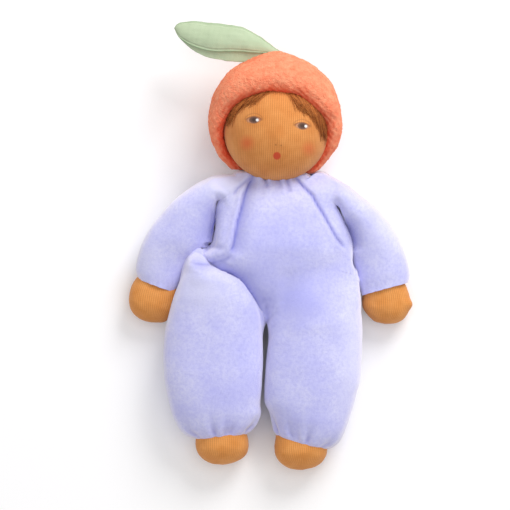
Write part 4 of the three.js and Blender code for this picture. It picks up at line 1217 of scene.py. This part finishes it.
# %% Terry
def terry(name, base, deep, light, roll_shade_tone):
    """Looped pile: cells of about a millimetre for the loops, mottling between three tones with the deep tone
    as painted shade between the loops, and a deeper red as painted shade where an attribute says that the
    roll turns in towards the face."""
    material, tree, shader = material_with(name)
    where = add(tree, "TexCoord").outputs["Object"]
    loops = add(tree, "TexVoronoi", Vector=where, Scale=950.0, Randomness=1.0).outputs[0]
    fuzz = noise(tree, where, 700.0, 6.0, 0.75)
    mottle = ranged(tree, noise(tree, where, 210.0, 5.0, 0.7), 0.36, 0.66)
    tone = mixed(tree, mottle, base, light)
    # painted shade: the deep tone where the fuzz is low, in the hollows of the bump between the loops
    tone = mixed(tree, ranged(tree, fuzz, 0.3, 0.6, 0.36, 0.0), tone, deep)
    tone = mixed(tree, attribute(tree, "roll_shade"), tone, roll_shade_tone)
    surface(tree, shader, tone, calculate(tree, "SUBTRACT", fuzz, loops), 0.65, 0.0009, Roughness=0.95,
            Specular_IOR_Level=0.1, Sheen_Weight=0.14, Sheen_Roughness=0.6, Sheen_Tint="#ffb48e")
    return material


# base, deep tone painted as shade between loops, lighter mottle, and deeper red painted as shade inside the
# roll
hood_terry = terry("coral_terry", "#fb8b67", "#f05a31", "#fda983", "#e6431d")

# %% The cap and its rolled edge
hood_centre = np.array([-1.0, 90.3, 38.0])
hood_radius = 46.6
hood_height = 41.0
lining_gap = 4.5
chin_drop = 35.4
# half the thickness of the rolled edge under the chin, beside the cheeks and over the brow
roll_chin, roll_cheek, roll_brow = 2.8, 5.6, 8.6
peak_place, peak_radius, peak_height = (-2.0, 39.0), 9.0, 2.0
opening_top = np.array([0.0, 110.3, 60.0])
opening_foot = np.array([0.0, 55.0, 26.0])
opening_up = unit(opening_top - opening_foot)
opening_out = np.array([0.0, -opening_up[2], opening_up[1]])


def cap_rows(count, sides):
    """Rings about the opening's own axis. From the pole at the back, the ball's outer skin runs to the
    opening, turns over a round edge and comes back inside as the lining."""
    drop = float(np.dot(opening_top - hood_centre, opening_out))
    a = np.linspace(0, 2 * np.pi, sides, endpoint=False)
    ring = np.array([1.0, 0, 0]) * np.cos(a)[:, None] + opening_up * np.sin(a)[:, None]

    def circles(turns, across, along):
        """Rings at each turn: the first scale's share across the axis and the second's along it."""
        return ring * across(turns)[:, None, None] + opening_out * along(turns)[:, None, None]

    share = (1 + np.sin(a)) / 2
    roll = roll_chin * (1 - share) ** 2 + 2 * roll_cheek * share * (1 - share) + roll_brow * share**2
    edge = math.acos(np.clip(drop / hood_radius, -1, 1))
    outer = np.linspace(np.pi - 0.01, edge + 0.02, count // 2)
    outer_rows = hood_centre + hood_radius * circles(outer, np.sin, np.cos)
    reach = math.sqrt(hood_radius**2 - drop**2)
    core = hood_centre + opening_out * drop + ring * (reach - roll)[:, None]
    turn = np.linspace(-0.04, np.pi * 1.12, count // 4)
    roll_rows = core + roll[:, None] * circles(turn, np.cos, np.sin)
    inner = np.linspace(edge + 0.12, np.pi - 0.01, count // 4)
    inner_rows = hood_centre + (hood_radius - lining_gap) * circles(inner, np.sin, np.cos)
    rows = np.vstack([outer_rows, roll_rows, inner_rows])
    squeeze = hood_height / hood_radius
    rows[..., 2] = hood_centre[2] + (rows[..., 2] - hood_centre[2]) * squeeze
    return rows


cap = piece_from_grid("hood_cloth", cap_rows(260, 300))
points, normals = points_of(cap), normals_of(cap)
# where the hood rests on the shoulders it is pressed almost flat, and its crown has a small peak
below = np.maximum(hood_centre[1] - chin_drop - points[:, 1], 0)
points[:, 1] += 0.9 * below
off_peak = np.hypot(points[:, 0] - peak_place[0], points[:, 2] - peak_place[1])
points[:, 1] += peak_height * (np.exp(-((off_peak / peak_radius) ** 2)) * (points[:, 1] > 120))
points = off_floor(pushed(points, normals, 0.7 * wavy(points, 30.0, 21) + 0.22 * wavy(points, 3.2, 22, 2)))
move_points(cap, points)
# painted shade: the roll's inner half, towards the face, is painted deeper red, as the shade between hood and
# face
from_middle = points_of(cap) - (opening_top + opening_foot) / 2
across = from_middle - (from_middle @ opening_out)[:, None] * opening_out
turned = -(normals_of(cap) * unit(across)).sum(1)
put_attribute(cap, "roll_shade", 0.8 * smoothstep(turned, -0.45, 0.75))
cap.data.materials.append(hood_terry)
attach(cap, "head")
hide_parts("hood")
print("hood", np.round(points.min(0), 1), np.round(points.max(0), 1))

# %% [markdown]
# ## Hair
#
# A short weft of brown mohair shows at both temples. Each tuft is a few hundred thin strands that leave
# the brim and lie down over the forehead.


# %% Strands at the temples
def hair_material():
    """Mohair: brown with lighter and darker strands, and a soft gloss."""
    material, tree, shader = material_with("brown_mohair")
    where = add(tree, "TexCoord").outputs["Object"]
    streak = noise(tree, where, 500.0, 3.0)
    tint = calculate(tree, "MULTIPLY_ADD", streak, 0.5, attribute(tree, "tint"), clamp=True)
    surface(tree, shader, mixed(tree, tint, "#7a3510", "#db8a44"), Roughness=0.6, Specular_IOR_Level=0.25)
    return material


mohair = hair_material()


def on_head(x, y, lift):
    """The height of the head's front at (x, y), raised by lift: the ellipsoid solved for z."""
    u = (x - head_centre[0]) / (head_half[0] + lift)
    v = (y - head_centre[1]) / (head_half[1] + lift)
    return head_centre[2] + (head_half[2] + lift) * np.sqrt(np.clip(1 - u**2 - v**2, 0, 1))


strand_rings, strand_sides = 7, 4
strand_radius = 0.2


def tuft(name, roots, tips, count, seed, replaced):
    """Thin strands from a line of roots to a line of tips. A strand is a closed tube of a few rings,
    tapered to its tip, that follows the head and springs up a little in its middle."""
    maker = np.random.default_rng(seed)
    share = np.sort(maker.uniform(0, 1, count))

    def scattered(line, spread):
        """Places at each share of a line, scattered about it."""
        line = np.asarray(line, float)
        even = np.linspace(0, 1, len(line))
        places = np.column_stack([np.interp(share, even, line[:, i]) for i in (0, 1)])
        return places + maker.normal(0, spread, (count, 2))

    start, end = scattered(roots, 0.8), scattered(tips, 1.6)
    bend = maker.normal(0, 0.8, (count, 2)) + np.sign(start[:, :1]) * (1.6, 0.0)
    lift = maker.uniform(0.25, 1.5, count)
    line = np.linspace(0, 1, strand_rings)
    t = line[None, :, None]
    knee = (start + end) / 2 + bend
    flat = start[:, None] * (1 - t) ** 2 + 2 * knee[:, None] * t * (1 - t) + end[:, None] * t**2
    rise = 0.1 + lift[:, None] * np.sin(np.pi * np.linspace(0.08, 1, strand_rings))[None] ** 0.7
    z = on_head(flat[..., 0], flat[..., 1], rise)
    path = np.concatenate([flat, z[..., None]], 2)
    step = unit(np.gradient(path, axis=1))
    side = unit(np.cross(step, [0.0, 0, 1.0]))
    top = np.cross(side, step)
    radius = (strand_radius * (1 - 0.7 * line))[None, :, None, None]
    angle = np.linspace(0, 2 * np.pi, strand_sides, endpoint=False)[None, None, :, None]
    tubes = path[:, :, None] + radius * (side[:, :, None] * np.cos(angle) + top[:, :, None] * np.sin(angle))
    points = tubes.reshape(-1, 3)
    quad = ring_quads(strand_rings, strand_sides)[:, [0, 3, 2, 1]]
    around = np.arange(strand_sides)
    ends = np.array([around, (strand_rings - 1) * strand_sides + around[::-1]])
    strand_points = strand_rings * strand_sides
    faces = (np.vstack([quad, ends])[None] + np.arange(count)[:, None, None] * strand_points).reshape(-1, 4)
    mesh = bpy.data.meshes.new(name)
    mesh.from_pydata((points * MM).tolist(), [], faces.tolist())
    mesh.update()
    piece = placed(name, mesh)
    if outward(points, faces, np.repeat(path.mean(1), len(quad) + 2, axis=0)) < 0:
        mesh.flip_normals()
    mesh.polygons.foreach_set("use_smooth", np.ones(len(faces), bool))
    put_attribute(piece, "tint", np.repeat(maker.uniform(-0.15, 0.55, count), strand_points))
    mesh.materials.append(mohair)
    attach(piece, "head")
    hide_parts(replaced)
    return piece


left_tuft = tuft("left_hair_strands", [(-4, 112), (-10, 111), (-18, 108.5), (-27, 102.5)],
                 [(-17, 101.5), (-25.5, 98.5), (-31, 94), (-34, 84)], 480, 31, "left_hair")
right_tuft = tuft("right_hair_strands", [(5, 112), (10, 111.5), (18, 109.5), (28, 103)],
                  [(15, 98.5), (25, 94), (31, 86), (35, 76)], 620, 32, "right_hair")
print("hair", len(left_tuft.data.polygons) + len(right_tuft.data.polygons), "faces")

# %% [markdown]
# ## The leaf
#
# Two layers of sage velour sewn round a thin wadding: a flat cushion, crowned, with a seam that runs round
# its edge and shows as a darker line along the lower side, with the paler underside beyond it.


# %% Leaf cushion
# upper edge x and y, lower outline x and y, place of the lower seam as a share of the way between
leaf_stations = [
    (-74.2, 150.6, -74.1, 150, 1), (-72.2, 153.4, -72.6, 147.2, 1), (-67.6, 155.3, -68.6, 142.2, 0.95),
    (-59.5, 155.7, -61.4, 136.8, 0.88), (-51, 155.4, -53, 132.6, 0.83), (-43, 154.9, -44.4, 130.6, 0.79),
    (-34, 154.3, -34.8, 129.7, 0.73), (-25.2, 152.6, -25.8, 129.6, 0.7),
    (-17.6, 149.2, -17.8, 130.6, 0.68), (-10.4, 144.9, -10.4, 132.6, 0.68),
    (-4.4, 140.6, -5.2, 134.6, 0.7), (-0.4, 138, -1.4, 136.8, 0.8),
]


# height of the leaf's middle layer and how much it bows up, half the thickness of its sewn edge where it
# is widest, and the arches of the top and the underside: at the tips, and how much more where it is widest
leaf_height, leaf_bow, edge_half = 40.5, 3.5, 2.5
arch_least, top_arch, under_arch = 0.3, 3.6, 4.6


def leaf_rows(count, sides):
    """Rings across the leaf, each of two halves that meet in the seam. The top runs from the lower seam to
    the upper edge in a low arch h sin(pi t)^0.75. The underside runs back in a deeper one, and swells
    past the lower seam by a bump exp(-((t - 0.86) / 0.17)^2), which is the edge seen from above."""
    ux, uy, lx, ly, share = read_stations(leaf_stations, count)
    bow = leaf_height + leaf_bow * np.sin(np.pi * np.linspace(0, 1, count))
    upper, lower = np.column_stack([ux, uy]), np.column_stack([lx, ly])
    wide = np.linalg.norm(lower - upper, axis=1)
    full = wide / wide.max()
    seam = upper + (lower - upper) * share[:, None]
    edge = np.column_stack([upper, bow - edge_half * full])
    fold = np.column_stack([seam, bow + edge_half * full])
    t = np.linspace(0, 1, sides // 2, endpoint=False)[None, :, None]
    arch = np.sin(np.pi * t) ** 0.75
    lift = np.array([0, 0, 1.0])
    top_lift = (arch_least + top_arch * full)[:, None, None]
    under_drop = (arch_least + under_arch * full)[:, None, None]
    top = fold[:, None] + (edge - fold)[:, None] * t + lift * top_lift * arch
    way = np.column_stack([(lower - upper) / wide[:, None], np.zeros(count)])
    bump = np.exp(-(((t - 0.86) / 0.17) ** 2)) * smoothstep(1 - t, 0, 0.09)
    under = (edge[:, None] + (fold - edge)[:, None] * t - lift * under_drop * arch
             + way[:, None] * (wide * (1 - 0.86 * share))[:, None, None] * bump)
    return np.concatenate([top, under], 1)


leaf_rings, leaf_sides = 170, 160
leaf = piece_from_grid("leaf_cloth", leaf_rows(leaf_rings, leaf_sides))
points, normals = points_of(leaf), normals_of(leaf)
ring = np.arange(leaf_sides)
from_seam = np.minimum(np.minimum(ring, leaf_sides - ring), np.abs(ring - leaf_sides // 2))
on_seam = np.concatenate([np.tile(np.exp(-((from_seam / 1.6) ** 2)), leaf_rings), np.ones(2)])
beside = np.concatenate([np.tile(np.exp(-(((from_seam - 5.0) / 2.2) ** 2)), leaf_rings), np.zeros(2)])
move_points(leaf, pushed(points, normals, 0.3 * wavy(points, 14.0, 41) + 0.35 * on_seam - 0.35 * beside))
put_attribute(leaf, "seam", 0.8 * on_seam)
leaf.data.materials.append(leaf_velour)
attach(leaf, "leaf")
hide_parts("leaf_top", "leaf_underside", "leaf_wadding")
print("leaf", np.round(points_of(leaf).min(0), 1), np.round(points_of(leaf).max(0), 1))

# %% [markdown]
# ## What is left of the solids
#
# The neck's stalk and its thread stay as solids: both are inside, under the gathered neckline. They get
# wool and thread, as an open neckline would show them when the head nods.


# %% Wool and thread for the inner solids
def inner_cloth(name, base, deep, scale):
    """Fibres: noise stretched one way, between two tones, with bump."""
    material, tree, shader = material_with(name)
    where = add(tree, "TexCoord").outputs["Object"]
    stretched = add(tree, "Mapping", Vector=where, Scale=(scale, scale * 0.25, scale)).outputs[0]
    fibre = noise(tree, stretched, 1.0, 5.0, 0.7)
    surface(tree, shader, mixed(tree, fibre, deep, base), fibre, 0.6, 0.0004, Roughness=0.95)
    return material


wool = inner_cloth("carded_wool", "#f3ead8", "#d8c8a8", 600.0)
thread = inner_cloth("gathering_thread", "#d9d6ee", "#a9a5cf", 2500.0)
for node, finish in {"neck_stalk": wool, "neckline_thread": thread}.items():
    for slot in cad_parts[node].material_slots:
        slot.material = finish
print("kept solids", "neck_stalk", "neckline_thread")
